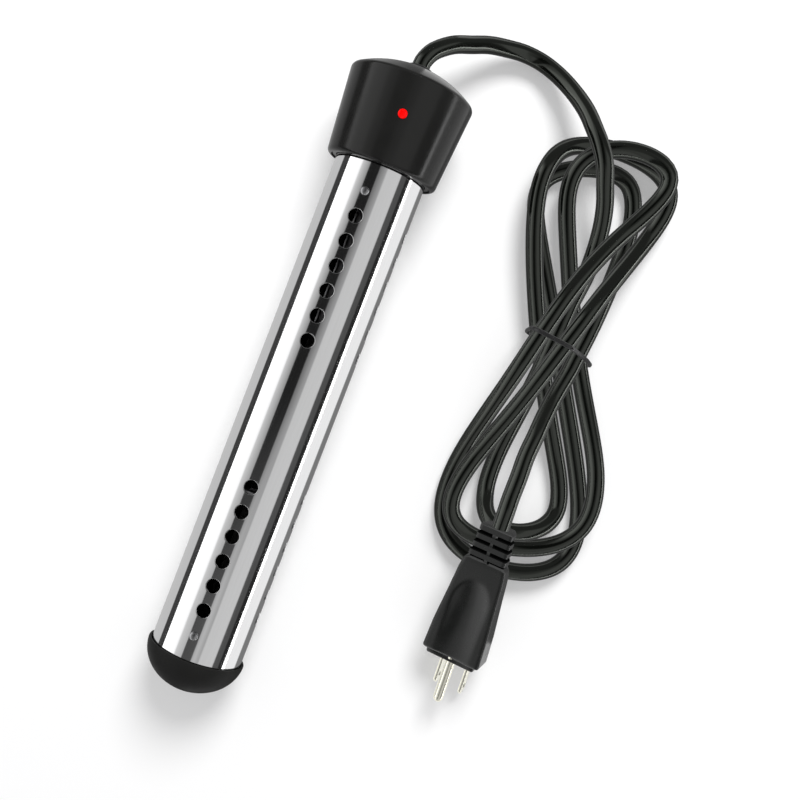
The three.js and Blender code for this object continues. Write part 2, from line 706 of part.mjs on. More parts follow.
for (const [name, geometry] of [["indicator_lens", lensBody], ["indicator_led", ledBody]]) {
  const mesh = piece(heater, name, geometry, 0xe01010, 0.25, 0);
  mesh.rotation.set(Math.PI / 2, LAMP_TURN, 0, "YXZ");
  mesh.position.set(0, LAMP_S, 0);
}
const board = new THREE.BoxGeometry(11, 12, BOARD_THICKNESS).translate(0, 0, BOARD_R);
const boardMesh = piece(heater, "lamp_board", board, 0x1f6b3a, 0.5, 0);
boardMesh.rotation.y = LAMP_TURN;
boardMesh.position.y = LAMP_S + 2.1;

// ---- Thermostat switch and one-shot fuse beside the clamp ----
const SWITCH_X = -15.5;
const SWITCH_Z = 8.6;
const SWITCH_SIZE = [7, 14, 4];
const switchStart = CLAMP_START - 2;
const switchBody = new THREE.BoxGeometry(...SWITCH_SIZE);
switchBody.translate(SWITCH_X, switchStart + SWITCH_SIZE[1] / 2, SWITCH_Z);
piece(heater, "thermostat_switch", switchBody, 0x3b3631, 0.6, 0);
const FUSE_X = -9.5;
const FUSE_Z = -9;
const FUSE_SIZE = [5.2, 8, 3.4];
const fuseStart = POTTING_END + 3;
const fuseTop = fuseStart + FUSE_SIZE[1];
const fuseBody = new THREE.BoxGeometry(...FUSE_SIZE);
fuseBody.translate(FUSE_X, fuseStart + FUSE_SIZE[1] / 2, FUSE_Z);
piece(heater, "thermal_fuse", fuseBody, 0x9b8f6d, 0.5, 0);

// ---- Internal wiring; every route is [x, s, z] in the heater's frame ----
const coreStart = CORD_START - GAP;
const wireEndS = CRIMP_START + 5;
const liveX = SWITCH_X + 1.7;
const linkX = SWITCH_X - 1.7;
const routes = {
  live_wire: [CORE_R, 18, [
    [-1.65, coreStart, 0.95],
    [-1.65, coreStart - 1.2, 0.95],
    [-4.8, coreStart - 3.6, 3.5],
    [-10, coreStart - 4.4, 7.1],
    [liveX + 0.3, switchStart - 3.1, SWITCH_Z],
    [liveX, switchStart - GAP - 1.2, SWITCH_Z],
    [liveX, switchStart - GAP, SWITCH_Z],
  ]],
  fuse_feed_wire: [LINK_R, 18, [
    [linkX, switchStart - GAP, SWITCH_Z],
    [linkX, switchStart - GAP - 1.2, SWITCH_Z],
    [-16.7, switchStart - 3.7, 5.5],
    [-15.8, switchStart - 4, 1],
    [-14, switchStart - 3.6, -4],
    [FUSE_X - 1.8, fuseTop + 2.6, FUSE_Z + 1.2],
    [FUSE_X - 1.3, fuseTop + 1.5, FUSE_Z],
    [FUSE_X - 1.3, fuseTop + GAP, FUSE_Z],
  ]],
  fuse_link_wire: [LINK_R, 16, [
    [FUSE_X + 1.3, fuseTop + GAP, FUSE_Z],
    [FUSE_X + 1.3, fuseTop + 1.6, FUSE_Z],
    [FUSE_X + 1.6, fuseTop + 2.9, FUSE_Z + 1.7],
    [-legX, fuseTop + 2.9, ELEMENT_Z - 3.2],
    [-legX, fuseTop + 1.6, ELEMENT_Z - 0.8],
    [-legX, fuseTop - 0.5, ELEMENT_Z],
    [-legX, wireEndS, ELEMENT_Z],
  ]],
  neutral_wire: [CORE_R, 14, [
    [1.65, coreStart, 0.95],
    [1.65, coreStart - 1.2, 0.95],
    [4.7, coreStart - 4, -0.5],
    [legX - 0.2, coreStart - 6.4, ELEMENT_Z + 0.1],
    [legX, coreStart - 8.2, ELEMENT_Z],
    [legX, wireEndS, ELEMENT_Z],
  ]],
  earth_wire: [CORE_R, 14, [
    [0, coreStart, -1.9],
    [0, coreStart - 1.2, -1.9],
    [0, coreStart - 4.6, -4.2],
    [0, coreStart - 7.4, STUD_Z + BARREL_Z + 0.1],
    [0, coreStart - 10, STUD_Z + BARREL_Z],
    [0, lugStart + 3, STUD_Z + BARREL_Z],
  ]],
  capillary: [CAPILLARY_R, 26, [
    [0, bulbEnd + GAP, WELL_Z],
    [0, bulbEnd + 25, WELL_Z],
    [0, POTTING_END - 6, WELL_Z],
    [0, POTTING_END + 1, WELL_Z],
    [-1.5, POTTING_END + 7, WELL_Z],
    [-5, CLAMP_START - 4, SWITCH_Z],
    [-8.5, CLAMP_START + 1, SWITCH_Z],
    [SWITCH_X + SWITCH_SIZE[0] / 2 + GAP + 1, CLAMP_START + 2.3, SWITCH_Z],
    [SWITCH_X + SWITCH_SIZE[0] / 2 + GAP, CLAMP_START + 2.3, SWITCH_Z],
  ]],
};
const wireColours = {
  live_wire: 0x1a1a1a,
  fuse_feed_wire: 0x1a1a1a,
  fuse_link_wire: 0x1a1a1a,
  neutral_wire: 0xd9d9d9,
  earth_wire: 0x2e7d46,
  capillary: 0xb87345,
};
for (const [name, [radius, steps, points]] of Object.entries(routes)) {
  const metal = name === "capillary" ? 1 : 0;
  piece(heater, name, tube(vectors(points), radius, WIRE_SIDES, steps), wireColours[name], 0.5, metal);
}

// ---- Plug: a moulded body with thumb hollows and a ribbed neck, two blades and a rolled earth pin ----
const plug = new THREE.Group();
plug.position.copy(PLUG_POSITION);
plug.rotation.set(PLUG_PITCH, PLUG_ROLL, PLUG_HEADING, "ZXY");
group.add(plug);
plug.updateMatrixWorld(true);

// One rounded rectangle: half width, half height and corner radius at y.
function rounded(y, halfWidth, halfHeight, corner, cornerSteps = 3) {
  const ring = [];
  const quarters = [[1, 1], [-1, 1], [-1, -1], [1, -1]];
  quarters.forEach(([sx, sz], quarter) => {
    for (let i = 0; i <= cornerSteps; i++) {
      const angle = ((quarter + i / cornerSteps) * Math.PI) / 2;
      ring.push(
        new THREE.Vector3(
          sx * (halfWidth - corner) + corner * Math.cos(angle),
          y,
          sz * (halfHeight - corner) + corner * Math.sin(angle),
        ),
      );
    }
  });
  return ring.reverse();
}
const plugSections = [
  [-PLUG_NOSE, 11.6, 10.2, 3],
  [0, 11.8, 10.4, 3.2],
  [0, 13.5, 11.1, 3.8],
  [0.8, 14, 11.6, 4.2],
  [14, 13.4, 10.8, 4.2],
  [30, 11.9, 8.9, 4],
  [41, 11, 7.6, 3.8],
  [45, 10.2, 7, 3.6],
  [46.2, 9, 6.2, 3.4],
];
const NECK_RIBS = 4;
const NECK_START = 46.2;
const RIB_PITCH = (PLUG_LENGTH - NECK_START) / NECK_RIBS;
for (let i = 0; i < NECK_RIBS; i++) {
  const y = NECK_START + i * RIB_PITCH;
  const taper = 1 - 0.04 * i;
  plugSections.push([y + 0.1, 6.9 * taper, 5.2 * taper, 3.2]);
  plugSections.push([y + 1.5, 6.9 * taper, 5.2 * taper, 3.2]);
  plugSections.push([y + 1.6, 9 * taper, 6.6 * taper, 3.6]);
  plugSections.push([y + RIB_PITCH, 8.9 * taper, 6.5 * taper, 3.6]);
}
const plugBlank = skinned(plugSections.map(([y, a, b, r]) => rounded(y, a, b, r)));
const thumbHollow = (side) => {
  const ball = new THREE.SphereGeometry(1, 16, 10);
  ball.scale(8.5, 17, 7.5);
  ball.translate(0, 27, side * 15.2);
  return ball;
};
const rootEnd = PLUG_ROOT + GAP;
const insertHalf = [9.2, 4.1];
const INSERT_DEPTH = 11;
const slot = (x, play, from, to) =>
  new THREE.BoxGeometry(BLADE_THICKNESS + 2 * play, to - from, BLADE_WIDTH + 2 * play).translate(
    x,
    (from + to) / 2,
    BLADE_Z,
  );
const insertBox = (play, from, to) =>
  new THREE.BoxGeometry(2 * (insertHalf[0] + play), to - from, 2 * (insertHalf[1] + play)).translate(
    0,
    (from + to) / 2,
    BLADE_Z,
  );
const bladeX = BLADE_SPACING / 2;
const plugBody = cut(plugBlank, [
  thumbHollow(1),
  thumbHollow(-1),
  insertBox(GAP, -PLUG_NOSE - 1, INSERT_DEPTH - PLUG_NOSE + GAP),
  bar(EARTH_PIN_R + GAP, -PLUG_NOSE - 1, rootEnd, 0, EARTH_PIN_Z, SMALL_ROUND),
]);
piece(plug, "plug_body", plugBody, 0x1f2021, 0.5, 0);
const insertBody = cut(insertBox(0, -PLUG_NOSE, INSERT_DEPTH - PLUG_NOSE), [
  slot(-bladeX, GAP, -PLUG_NOSE - 1, rootEnd),
  slot(bladeX, GAP, -PLUG_NOSE - 1, rootEnd),
]);
piece(plug, "plug_insert", insertBody, 0x17181a, 0.6, 0);

// ---- Blades: flat, with chamfered tips and a hole near the tip ----
const bladeTip = -PLUG_NOSE - BLADE_REACH;
const bladeOutline = new THREE.Shape();
const halfBlade = BLADE_WIDTH / 2;
bladeOutline.moveTo(PLUG_ROOT, -halfBlade);
bladeOutline.lineTo(PLUG_ROOT, halfBlade);
bladeOutline.lineTo(bladeTip + 1.6, halfBlade);
bladeOutline.lineTo(bladeTip, halfBlade - 1.6);
bladeOutline.lineTo(bladeTip, -halfBlade + 1.6);
bladeOutline.lineTo(bladeTip + 1.6, -halfBlade);
const bladeHole = new THREE.Path();
bladeHole.absarc(bladeTip + 4.2, 0, 1.6, 0, 2 * Math.PI, true);
bladeOutline.holes.push(bladeHole);
// The outline's own x and y lie along the plug's y and z.
const bladeTurn = new THREE.Matrix4().makeBasis(
  new THREE.Vector3(0, 1, 0),
  new THREE.Vector3(0, 0, 1),
  new THREE.Vector3(1, 0, 0),
);
for (const [side, x] of [["left", -bladeX], ["right", bladeX]]) {
  const blade = new THREE.ExtrudeGeometry(bladeOutline, {
    depth: BLADE_THICKNESS,
    bevelEnabled: false,
    curveSegments: 7,
  });
  blade.translate(0, 0, -BLADE_THICKNESS / 2);
  blade.applyMatrix4(bladeTurn);
  const mesh = piece(plug, "plug_blade_" + side, blade, 0xd9d6b8, 0.25, 1);
  mesh.position.set(x, 0, BLADE_Z);
}

// ---- Earth pin: rolled from strip, round-nosed, with its seam along the outer side ----
const pinTip = -PLUG_NOSE - EARTH_PIN_REACH;
const pinBlank = turned(
  [
    [0, pinTip],
    [EARTH_PIN_R * 0.55, pinTip + 0.35],
    [EARTH_PIN_R * 0.9, pinTip + 1.4],
    [EARTH_PIN_R, pinTip + 2.8],
    [EARTH_PIN_R, PLUG_ROOT],
    [0, PLUG_ROOT],
  ],
  SMALL_ROUND,
);
const seam = new THREE.BoxGeometry(0.7, EARTH_PIN_REACH - 3, 2);
seam.translate(0, -PLUG_NOSE - 0.2 - (EARTH_PIN_REACH - 3) / 2, EARTH_PIN_R);
piece(plug, "plug_earth_pin", cut(pinBlank, [seam]), 0xd9d6b8, 0.25, 1).position.set(0, 0, EARTH_PIN_Z);

// ---- Hank: the cord wound in three figures of eight and drawn in at the waist ----
// In the hank's own frame x runs across the waist and y along the hank, lower lobe first. Odd and even
// half turns are the lower and upper lobes; each list below has one value for a lobe or a crossing.
const WAIST = [103.7, 58.05];
const HANK_TURN = THREE.MathUtils.degToRad(8.1);
const LAYER = 8.75;
const LOBES = 6;
const LOBE_STEPS = 24;
const HANK_SIDES = 6;
const SQUARENESS = 0.15;
const leftBulge = [12.65, 22.06, 27.98, 21.05, 30.22, 26.06];
const rightBulge = [21.73, 32.84, 29.84, 23.87, 28.79, 15.38];
const reach = [89.14, 95.39, 96.89, 93.98, 107.74, 84.95];
const skew = [-3.14, 2.88, -5.84, 14.31, 0.04, 3.81];
const lane = [-3.23, -8.65, 1.63, 9.87, -10.99, 0.32, 10.41];
const crossingLift = [1.775, 0.764, 2.750, 0.220, 2.750, 0.220, 1.226];
const lobeLift = [
  [0.000, 1.230, 0.099],
  [1.201, 0.068, 0.464],
  [1.251, 0.712, 1.048],
  [0.897, 1.324, 1.367],
  [0.000, 0.461, 0.000],
  [0.000, 0.000, 0.000],
];

// The value at a turn angle, eased between the stations on either side of it.
function eased(stations, angle) {
  for (let i = 1; i < stations.length; i++) {
    const [a, va] = stations[i - 1];
    const [b, vb] = stations[i];
    if (angle <= b || i === stations.length - 1) {
      const t = Math.min(1, Math.max(0, ((angle - a) / (b - a) - 0.1) / 0.8));
      return va + (vb - va) * t * t * (3 - 2 * t);
    }
  }
  return stations[0][1];
}
const bulgeStations = [];
const liftStations = [];
const farStations = { reach: [], skew: [] };
for (let lobe = 0; lobe < LOBES; lobe++) {
  const [left, far, right] = lobeLift[lobe];
  bulgeStations.push([(lobe + 0.25) * Math.PI, leftBulge[lobe]]);
  bulgeStations.push([(lobe + 0.75) * Math.PI, rightBulge[lobe]]);
  farStations.reach.push([(lobe + 0.5) * Math.PI, reach[lobe]]);
  farStations.skew.push([(lobe + 0.5) * Math.PI, skew[lobe]]);
  liftStations.push([lobe * Math.PI, crossingLift[lobe]]);
  liftStations.push([(lobe + 0.25) * Math.PI, left]);
  liftStations.push([(lobe + 0.5) * Math.PI, far]);
  liftStations.push([(lobe + 0.75) * Math.PI, right]);
}
liftStations.push([LOBES * Math.PI, crossingLift[LOBES]]);
const laneStations = lane.map((value, i) => [i * Math.PI, value]);

function hankPoint(angle) {
  const bulge = eased(bulgeStations, angle);
  const crossing = Math.cos(angle) ** 2 * eased(laneStations, angle);
  const across = crossing + Math.sin(angle) ** 2 * eased(farStations.skew, angle);
  const x = across - bulge * (Math.sin(2 * angle) - SQUARENESS * Math.sin(4 * angle));
  const y = -eased(farStations.reach, angle) * Math.sin(angle);
  return new THREE.Vector3(
    WAIST[0] + x * Math.cos(HANK_TURN) - y * Math.sin(HANK_TURN),
    WAIST[1] + x * Math.sin(HANK_TURN) + y * Math.cos(HANK_TURN),
    CORD_R + LAYER * eased(liftStations, angle),
  );
}
const hankCentres = [];
for (let i = 0; i <= LOBES * LOBE_STEPS; i++) hankCentres.push(hankPoint((i * Math.PI) / LOBE_STEPS));
const hankIn = hankCentres[1].clone().sub(hankCentres[0]).normalize();
const lastCentre = hankCentres[hankCentres.length - 1];
const hankOut = lastCentre.clone().sub(hankCentres[hankCentres.length - 2]).normalize();
const hankStart = hankCentres[0].clone().addScaledVector(hankIn, -CORD_D);
const hankEnd = lastCentre.clone().addScaledVector(hankOut, CORD_D);
const hankRoute = [hankStart, ...hankCentres, hankEnd];
piece(group, "cord_hank", skinned(tubeRings(hankRoute, CORD_R, HANK_SIDES)), ...RUBBER);

// ---- Free stretches of cord: cap to hank, and hank to plug ----
const alongHeater = (s) => new THREE.Vector3(0, s, 0).applyMatrix4(heater.matrixWorld);
const leadPoints = [
  [2, 157.5, 28.5],
  [5.5, 162, 26.5],
  [10.5, 166.5, 23.5],
  [17, 170.5, 19],
  [24.5, 175, 14],
  [33, 178, 9.5],
  [41.5, 179.5, 7],
  [51, 178.5, 6.5],
  [60.5, 174.5, 9],
  [69.5, 168.5, 13],
  [77, 161.5, 18],
  [83, 154, 22],
  [88.5, 147, 24],
  [93, 140, 24],
  [96.5, 132.5, 21.5],
  [100, 125, 18],
  [102.5, 117, 14.5],
  [104, 108.5, 11.5],
  [104.5, 100, 11],
  [104, 91, 14.5],
];
const leadRoute = [
  ...[0, 0.33, 0.67, 1].map((share) => alongHeater(CORD_START + share * (CAP_TOP - CORD_START))),
  alongHeater(CAP_TOP + 4),
  ...vectors(leadPoints),
  hankStart.clone().addScaledVector(hankIn, -CORD_D),
  hankStart.clone().addScaledVector(hankIn, -GAP),
];
piece(group, "cord_lead", tube(leadRoute, CORD_R, CORD_SIDES, 34), ...RUBBER);
const neckOut = new THREE.Vector3(0, PLUG_LENGTH + GAP, 0).applyMatrix4(plug.matrixWorld);
const neckAxis = new THREE.Vector3(0, 1, 0).transformDirection(plug.matrixWorld);
const tailPoints = [
  [110.5, 35, 17.5],
  [109, 24.5, 21],
  [108, 14.5, 24.5],
  [107, 4.5, 27],
  [107, -5.5, 29],
  [107, -15.5, 29],
];
const tailRoute = [
  hankEnd.clone().addScaledVector(hankOut, GAP),
  hankEnd.clone().addScaledVector(hankOut, GAP + CORD_R),
  ...vectors(tailPoints),
  neckOut.clone().addScaledVector(neckAxis, CORD_D),
  neckOut,
];
piece(group, "plug_lead", tube(tailRoute, CORD_R, CORD_SIDES, 14), ...RUBBER);

// ---- Tie: a thin plastic-covered wire drawn round all the strands where they cross ----
const FINE_STEPS = 120;
const strandCentres = [];
for (let i = 0; i <= 8; i++) strandCentres.push(hankStart.clone().lerp(hankCentres[0], i / 8));
for (let i = 1; i <= LOBES * FINE_STEPS; i++) strandCentres.push(hankPoint((i * Math.PI) / FINE_STEPS));
for (let i = 1; i <= 8; i++) strandCentres.push(lastCentre.clone().lerp(hankEnd, i / 8));
const tieTurn = HANK_TURN - TIE_SLANT;
const tieAcross = new THREE.Vector3(Math.cos(tieTurn), Math.sin(tieTurn), 0);
const tieNormal = new THREE.Vector3(-Math.sin(tieTurn), Math.cos(tieTurn), 0);
const tieCentre = new THREE.Vector3(...WAIST, 0).addScaledVector(tieNormal, TIE_OFFSET);
const sections = [];
for (const centre of strandCentres) {
  const from = centre.clone().sub(tieCentre);
  const off = Math.max(0, Math.abs(from.dot(tieNormal)) - TIE_WIRE_R);
  if (off < CORD_R) sections.push([from.dot(tieAcross), from.z, Math.sqrt(CORD_R ** 2 - off ** 2)]);
}
// The outline is the crossing of neighbouring tangent lines that just clear every strand.
const supports = [];
for (let i = 0; i < TIE_STEPS; i++) {
  const angle = (2 * Math.PI * i) / TIE_STEPS;
  const reaches = sections.map(([u, v, r]) => u * Math.cos(angle) + v * Math.sin(angle) + r);
  supports.push([angle, Math.max(...reaches) + TIE_WIRE_R + TIE_CLEARANCE]);
}
const tieRoute = supports.map(([angle, height], i) => {
  const [nextAngle, nextHeight] = supports[(i + 1) % TIE_STEPS];
  const turn = Math.sin(nextAngle - angle);
  const u = (height * Math.sin(nextAngle) - nextHeight * Math.sin(angle)) / turn;
  const v = (nextHeight * Math.cos(angle) - height * Math.cos(nextAngle)) / turn;
  return tieCentre.clone().addScaledVector(tieAcross, u).add(new THREE.Vector3(0, 0, v));
});
const tieRings = tubeRings(tieRoute, TIE_WIRE_R, WIRE_SIDES, true, tieNormal);
piece(group, "cord_tie", skinned(tieRings, true), 0x151515, 0.45, 0);

// ---- The hank's clearance, measured between centre points that lie well apart along the cord ----
const travelled = [0];
for (let i = 1; i < strandCentres.length; i++) {
  travelled.push(travelled[i - 1] + strandCentres[i].distanceTo(strandCentres[i - 1]));
}
let leastGap = Infinity;
for (let i = 0; i < strandCentres.length; i++) {
  for (let j = i + 1; j < strandCentres.length; j++) {
    if (travelled[j] - travelled[i] < 3.5 * CORD_D) continue;
    leastGap = Math.min(leastGap, strandCentres[i].distanceTo(strandCentres[j]) - CORD_D);
  }
}
const hankLength = travelled[travelled.length - 1];
console.log(`hank: ${hankLength.toFixed(1)} mm of cord, least gap to itself ${leastGap.toFixed(2)} mm`);

export default group;
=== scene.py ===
# Immersion water heater lying on a pale table with its mains cord tied in a hank beside it.
# Metres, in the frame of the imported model: heater axis along +Y, foot first, table at z = 0.
import math

import bmesh
import bpy
from mathutils import Matrix, Vector


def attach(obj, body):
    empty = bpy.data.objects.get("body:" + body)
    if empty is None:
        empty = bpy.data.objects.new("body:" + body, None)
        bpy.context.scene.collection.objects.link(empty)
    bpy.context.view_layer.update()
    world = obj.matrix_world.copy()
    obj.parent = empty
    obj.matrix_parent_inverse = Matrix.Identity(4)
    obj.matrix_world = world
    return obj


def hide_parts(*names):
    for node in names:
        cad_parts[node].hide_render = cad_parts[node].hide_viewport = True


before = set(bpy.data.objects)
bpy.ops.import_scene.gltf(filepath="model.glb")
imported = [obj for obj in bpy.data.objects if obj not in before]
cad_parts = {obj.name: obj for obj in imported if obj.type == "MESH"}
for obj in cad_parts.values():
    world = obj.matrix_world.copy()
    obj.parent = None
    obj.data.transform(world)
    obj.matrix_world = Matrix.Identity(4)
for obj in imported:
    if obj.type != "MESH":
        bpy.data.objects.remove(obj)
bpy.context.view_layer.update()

# Camera: straight above the table, turned so that the heater leans as it does in the picture.
camera = bpy.data.objects.new("camera", bpy.data.cameras.new("camera"))
camera.location = (0.045, 0.0076, 0.5172)
camera.rotation_euler = (0, 0, math.radians(21.16))
camera.data.sensor_width = 36
camera.data.lens = 49.14
camera.data.clip_start = 0.01
bpy.context.scene.collection.objects.link(camera)
bpy.context.scene.camera = camera
bpy.context.scene.view_settings.view_transform = "Standard"

# Mains cord: one length of round three-core flex, black extruded jacket, 8.2 mm thick. It leaves the
# cap's crown, swings over to a hank of three figures of eight, and ends in the plug's ribbed neck.
CORD_D = 0.0082
CORD_R = CORD_D / 2
TILT = math.atan2(0.0289 - 0.0225, 0.285337 - 0.0185)
heater_place = Matrix.Translation((0, -0.149357, 0.02205)) @ Matrix.Rotation(TILT, 4, "X")
plug_place = Matrix.Translation((0.1115, -0.0906, 0.0143)) @ Matrix.Rotation(math.radians(3.5), 4, "Z")
plug_place = plug_place @ Matrix.Rotation(math.radians(12), 4, "X")
plug_place = plug_place @ Matrix.Rotation(math.radians(-20), 4, "Y")
CAP_TOP = 0.2976

WAIST = Vector((0.1037, 0.05805, 0))
HANK_TURN = math.radians(8.1)
LAYER = 0.00875
LOBES = 6
STEPS_PER_LOBE = 48
LOOP_FULLNESS = 0.15
HELD, EASED = 0.1, 0.8
left_bulge = [0.01265, 0.02206, 0.02798, 0.02105, 0.03022, 0.02606]
right_bulge = [0.02173, 0.03284, 0.02984, 0.02387, 0.02879, 0.01538]
reach = [0.08914, 0.09539, 0.09689, 0.09398, 0.10774, 0.08495]
skew = [-0.00314, 0.00288, -0.00584, 0.01431, 0.00004, 0.00381]
lane = [-0.00323, -0.00865, 0.00163, 0.00987, -0.01099, 0.00032, 0.01041]
crossing_lift = [1.775, 0.764, 2.750, 0.220, 2.750, 0.220, 1.226]
lobe_lift = [
    [0, 1.230, 0.099], [1.201, 0.068, 0.464], [1.251, 0.712, 1.048],
    [0.897, 1.324, 1.367], [0, 0.461, 0], [0, 0, 0],
]


def between(stations, angle):
    """The value at a turn angle, eased between the stations on either side of it."""
    for (a, low), (b, high) in zip(stations, stations[1:]):
        if angle <= b or b == stations[-1][0]:
            t = min(1, max(0, ((angle - a) / (b - a) - HELD) / EASED))
            return low + (high - low) * t * t * (3 - 2 * t)


bulges = []
lifts = []
for lobe in range(LOBES):
    bulges += [((lobe + 0.25) * math.pi, left_bulge[lobe]), ((lobe + 0.75) * math.pi, right_bulge[lobe])]
    heights = [crossing_lift[lobe], *lobe_lift[lobe]]
    lifts += [((lobe + 0.25 * i) * math.pi, height) for i, height in enumerate(heights)]
lifts.append((LOBES * math.pi, crossing_lift[LOBES]))
reaches = [((lobe + 0.5) * math.pi, value) for lobe, value in enumerate(reach)]
skews = [((lobe + 0.5) * math.pi, value) for lobe, value in enumerate(skew)]
lanes = [(i * math.pi, value) for i, value in enumerate(lane)]


def hank_point(angle):
    """The cord's middle in the hank: it crosses the waist at each whole half turn of the angle."""
    s, c = math.sin(angle), math.cos(angle)
    across = c * c * between(lanes, angle) + s * s * between(skews, angle)
    x = across - between(bulges, angle) * (math.sin(2 * angle) - LOOP_FULLNESS * math.sin(4 * angle))
    y = -between(reaches, angle) * s
    turned = Matrix.Rotation(HANK_TURN, 3, "Z") @ Vector((x, y, 0))
    return WAIST + turned + Vector((0, 0, CORD_R + LAYER * between(lifts, angle)))


def route(points, step=0.002):
    """A smooth line through points, sampled about every step."""
    points = [2 * points[0] - points[1], *points, 2 * points[-1] - points[-2]]
    line = []
    for p0, p1, p2, p3 in zip(points, points[1:], points[2:], points[3:]):
        count = max(1, round((p2 - p1).length / step))
        for t in (i / count for i in range(count)):
            cubic = 3 * p1 - p0 - 3 * p2 + p3
            square = 2 * p0 - 5 * p1 + 4 * p2 - p3
            line.append(0.5 * (2 * p1 + t * (p2 - p0 + t * (square + t * cubic))))
    return [*line, points[-2]]


first, last = hank_point(0), hank_point(LOBES * math.pi)
hank_in = (hank_point(math.pi / 24) - first).normalized()
hank_out = (last - hank_point(LOBES * math.pi - math.pi / 24)).normalized()
inside_cap = (0.2725, 0.2808, 0.2893, CAP_TOP, CAP_TOP + 0.004)
lead_points = [
    (0.002, 0.1575, 0.0285), (0.0055, 0.162, 0.0265), (0.0105, 0.1665, 0.0235), (0.017, 0.1705, 0.019),
    (0.0245, 0.175, 0.014), (0.033, 0.178, 0.0095), (0.0415, 0.1795, 0.007), (0.051, 0.1785, 0.0065),
    (0.0605, 0.1745, 0.009), (0.0695, 0.1685, 0.013), (0.077, 0.1615, 0.018), (0.083, 0.154, 0.022),
    (0.0885, 0.147, 0.024), (0.093, 0.14, 0.024), (0.0965, 0.1325, 0.0215), (0.1, 0.125, 0.018),
    (0.1025, 0.117, 0.0145), (0.104, 0.1085, 0.0115), (0.1045, 0.1, 0.011), (0.104, 0.091, 0.0145),
]
tail_points = [
    (0.1105, 0.035, 0.0175), (0.109, 0.0245, 0.021), (0.108, 0.0145, 0.0245),
    (0.107, 0.0045, 0.027), (0.107, -0.0055, 0.029), (0.107, -0.0155, 0.029),
]
inside_neck = (0.071, 0.0628, 0.058)
cord_route = [heater_place @ Vector((0, s, 0)) for s in inside_cap]
cord_route += [Vector(p) for p in lead_points]
cord_route += [first - hank_in * 2 * CORD_D, first - hank_in * CORD_D]
cord_route += [hank_point(i * math.pi / STEPS_PER_LOBE) for i in range(LOBES * STEPS_PER_LOBE + 1)]
cord_route += [last + hank_out * CORD_D, last + hank_out * 1.5 * CORD_D]
cord_route += [Vector(p) for p in tail_points]
cord_route += [plug_place @ Vector((0, y, 0)) for y in inside_neck]
cord_line = route(cord_route)
cord_length = sum((b - a).length for a, b in zip(cord_line, cord_line[1:]))


def swept(name, line, radius, sides, closed=False):
    """A round mesh tube along a line, with its length and its girth as UV."""
    curve = bpy.data.curves.new(name, "CURVE")
    curve.dimensions = "3D"
    curve.twist_mode = "MINIMUM"
    spline = curve.splines.new("POLY")
    spline.points.add(len(line) - 1)
    for point, place in zip(spline.points, line):
        point.co = (*place, 1)
    spline.use_cyclic_u = closed
    curve.bevel_depth = radius
    curve.bevel_resolution = (sides - 4) // 2
    curve.use_fill_caps = not closed
    drawn = bpy.data.objects.new(name, curve)
    bpy.context.scene.collection.objects.link(drawn)
    mesh = bpy.data.meshes.new_from_object(drawn.evaluated_get(bpy.context.evaluated_depsgraph_get()))
    bpy.data.objects.remove(drawn)
    mesh.name = name
    mesh.shade_smooth()
    return mesh


def placed(name, mesh, material, slot, *nodes):
    """The mesh as a piece of the heater that stands for these nodes of the model."""
    piece = bpy.data.objects.new(name, mesh)
    bpy.context.scene.collection.objects.link(piece)
    piece.data.materials.append(material)
    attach(piece, "root")
    if nodes:
        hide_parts(*nodes)
    return piece


def node(tree, kind, inputs={}, **settings):
    """One shader node. Each input is a plain value or another node's output."""
    made = tree.nodes.new("ShaderNode" + kind)
    for name, value in settings.items():
        setattr(made, name, value)
    for name, value in inputs.items():
        if isinstance(value, bpy.types.NodeSocket):
            tree.links.new(value, made.inputs[name])
        else:
            made.inputs[name].default_value = value
    return made


def blend(tree, factor, first, second):
    """The colour between two, each a plain colour or another node's output."""
    first, second = ((*end, 1) if isinstance(end, tuple) else end for end in (first, second))
    return node(tree, "Mix", {"Factor": factor, 6: first, 7: second}, data_type="RGBA").outputs[2]


def surface(name, colour, roughness, metal=0.0, **more):
    """A material, its nodes, its shader, and the coordinates for its patterns."""
    material = bpy.data.materials.new(name)
    material.use_nodes = True
    tree = material.node_tree
    shader = tree.nodes["Principled BSDF"]
    shader.inputs["Base Color"].default_value = (*colour, 1)
    shader.inputs["Roughness"].default_value = roughness
    shader.inputs["Metallic"].default_value = metal
    for key, value in more.items():
        shader.inputs[key.replace("_", " ").title().replace("Ior", "IOR")].default_value = value
    return material, tree, shader, tree.nodes.new("ShaderNodeTexCoord")


def mottled(tree, shader, at, scale, darker, paler, roughness, stretch=(1, 1, 1)):
    """Slow changes of colour and of roughness over a surface, from one noise."""
    mapping = node(tree, "Mapping", {"Scale": stretch, "Vector": at.outputs["Object"]})
    noise = node(tree, "TexNoise", {
        "Scale": scale, "Detail": 4, "Roughness": 0.6, "Vector": mapping.outputs[0]})
    pattern = noise.outputs["Fac"]
    tree.links.new(blend(tree, pattern, darker, paler), shader.inputs["Base Color"])
    smoother, rougher = roughness
    shine = node(tree, "MapRange", {
        "From Min": 0.3, "From Max": 0.7, "To Min": smoother, "To Max": rougher, "Value": pattern})
    tree.links.new(shine.outputs[0], shader.inputs["Roughness"])
    return pattern


def relief(tree, shader, pattern, depth, strength=1.0, under=None):
    """Relief from a pattern, this many metres deep, over any relief that is already there."""
    inputs = {"Height": pattern, "Distance": depth, "Strength": strength}
    if under is not None:
        inputs["Normal"] = under
    bump = node(tree, "Bump", inputs)
    tree.links.new(bump.outputs[0], shader.inputs["Normal"])
    return bump.outputs[0]


def grained(tree, shader, at, scale, depth, strength, detail=3, under=None):
    """The fine even grain that a moulding takes from its mould."""
    grain = node(tree, "TexNoise", {"Scale": scale, "Detail": detail, "Vector": at.outputs["Object"]})
    relief(tree, shader, grain.outputs["Fac"], depth, strength, under)


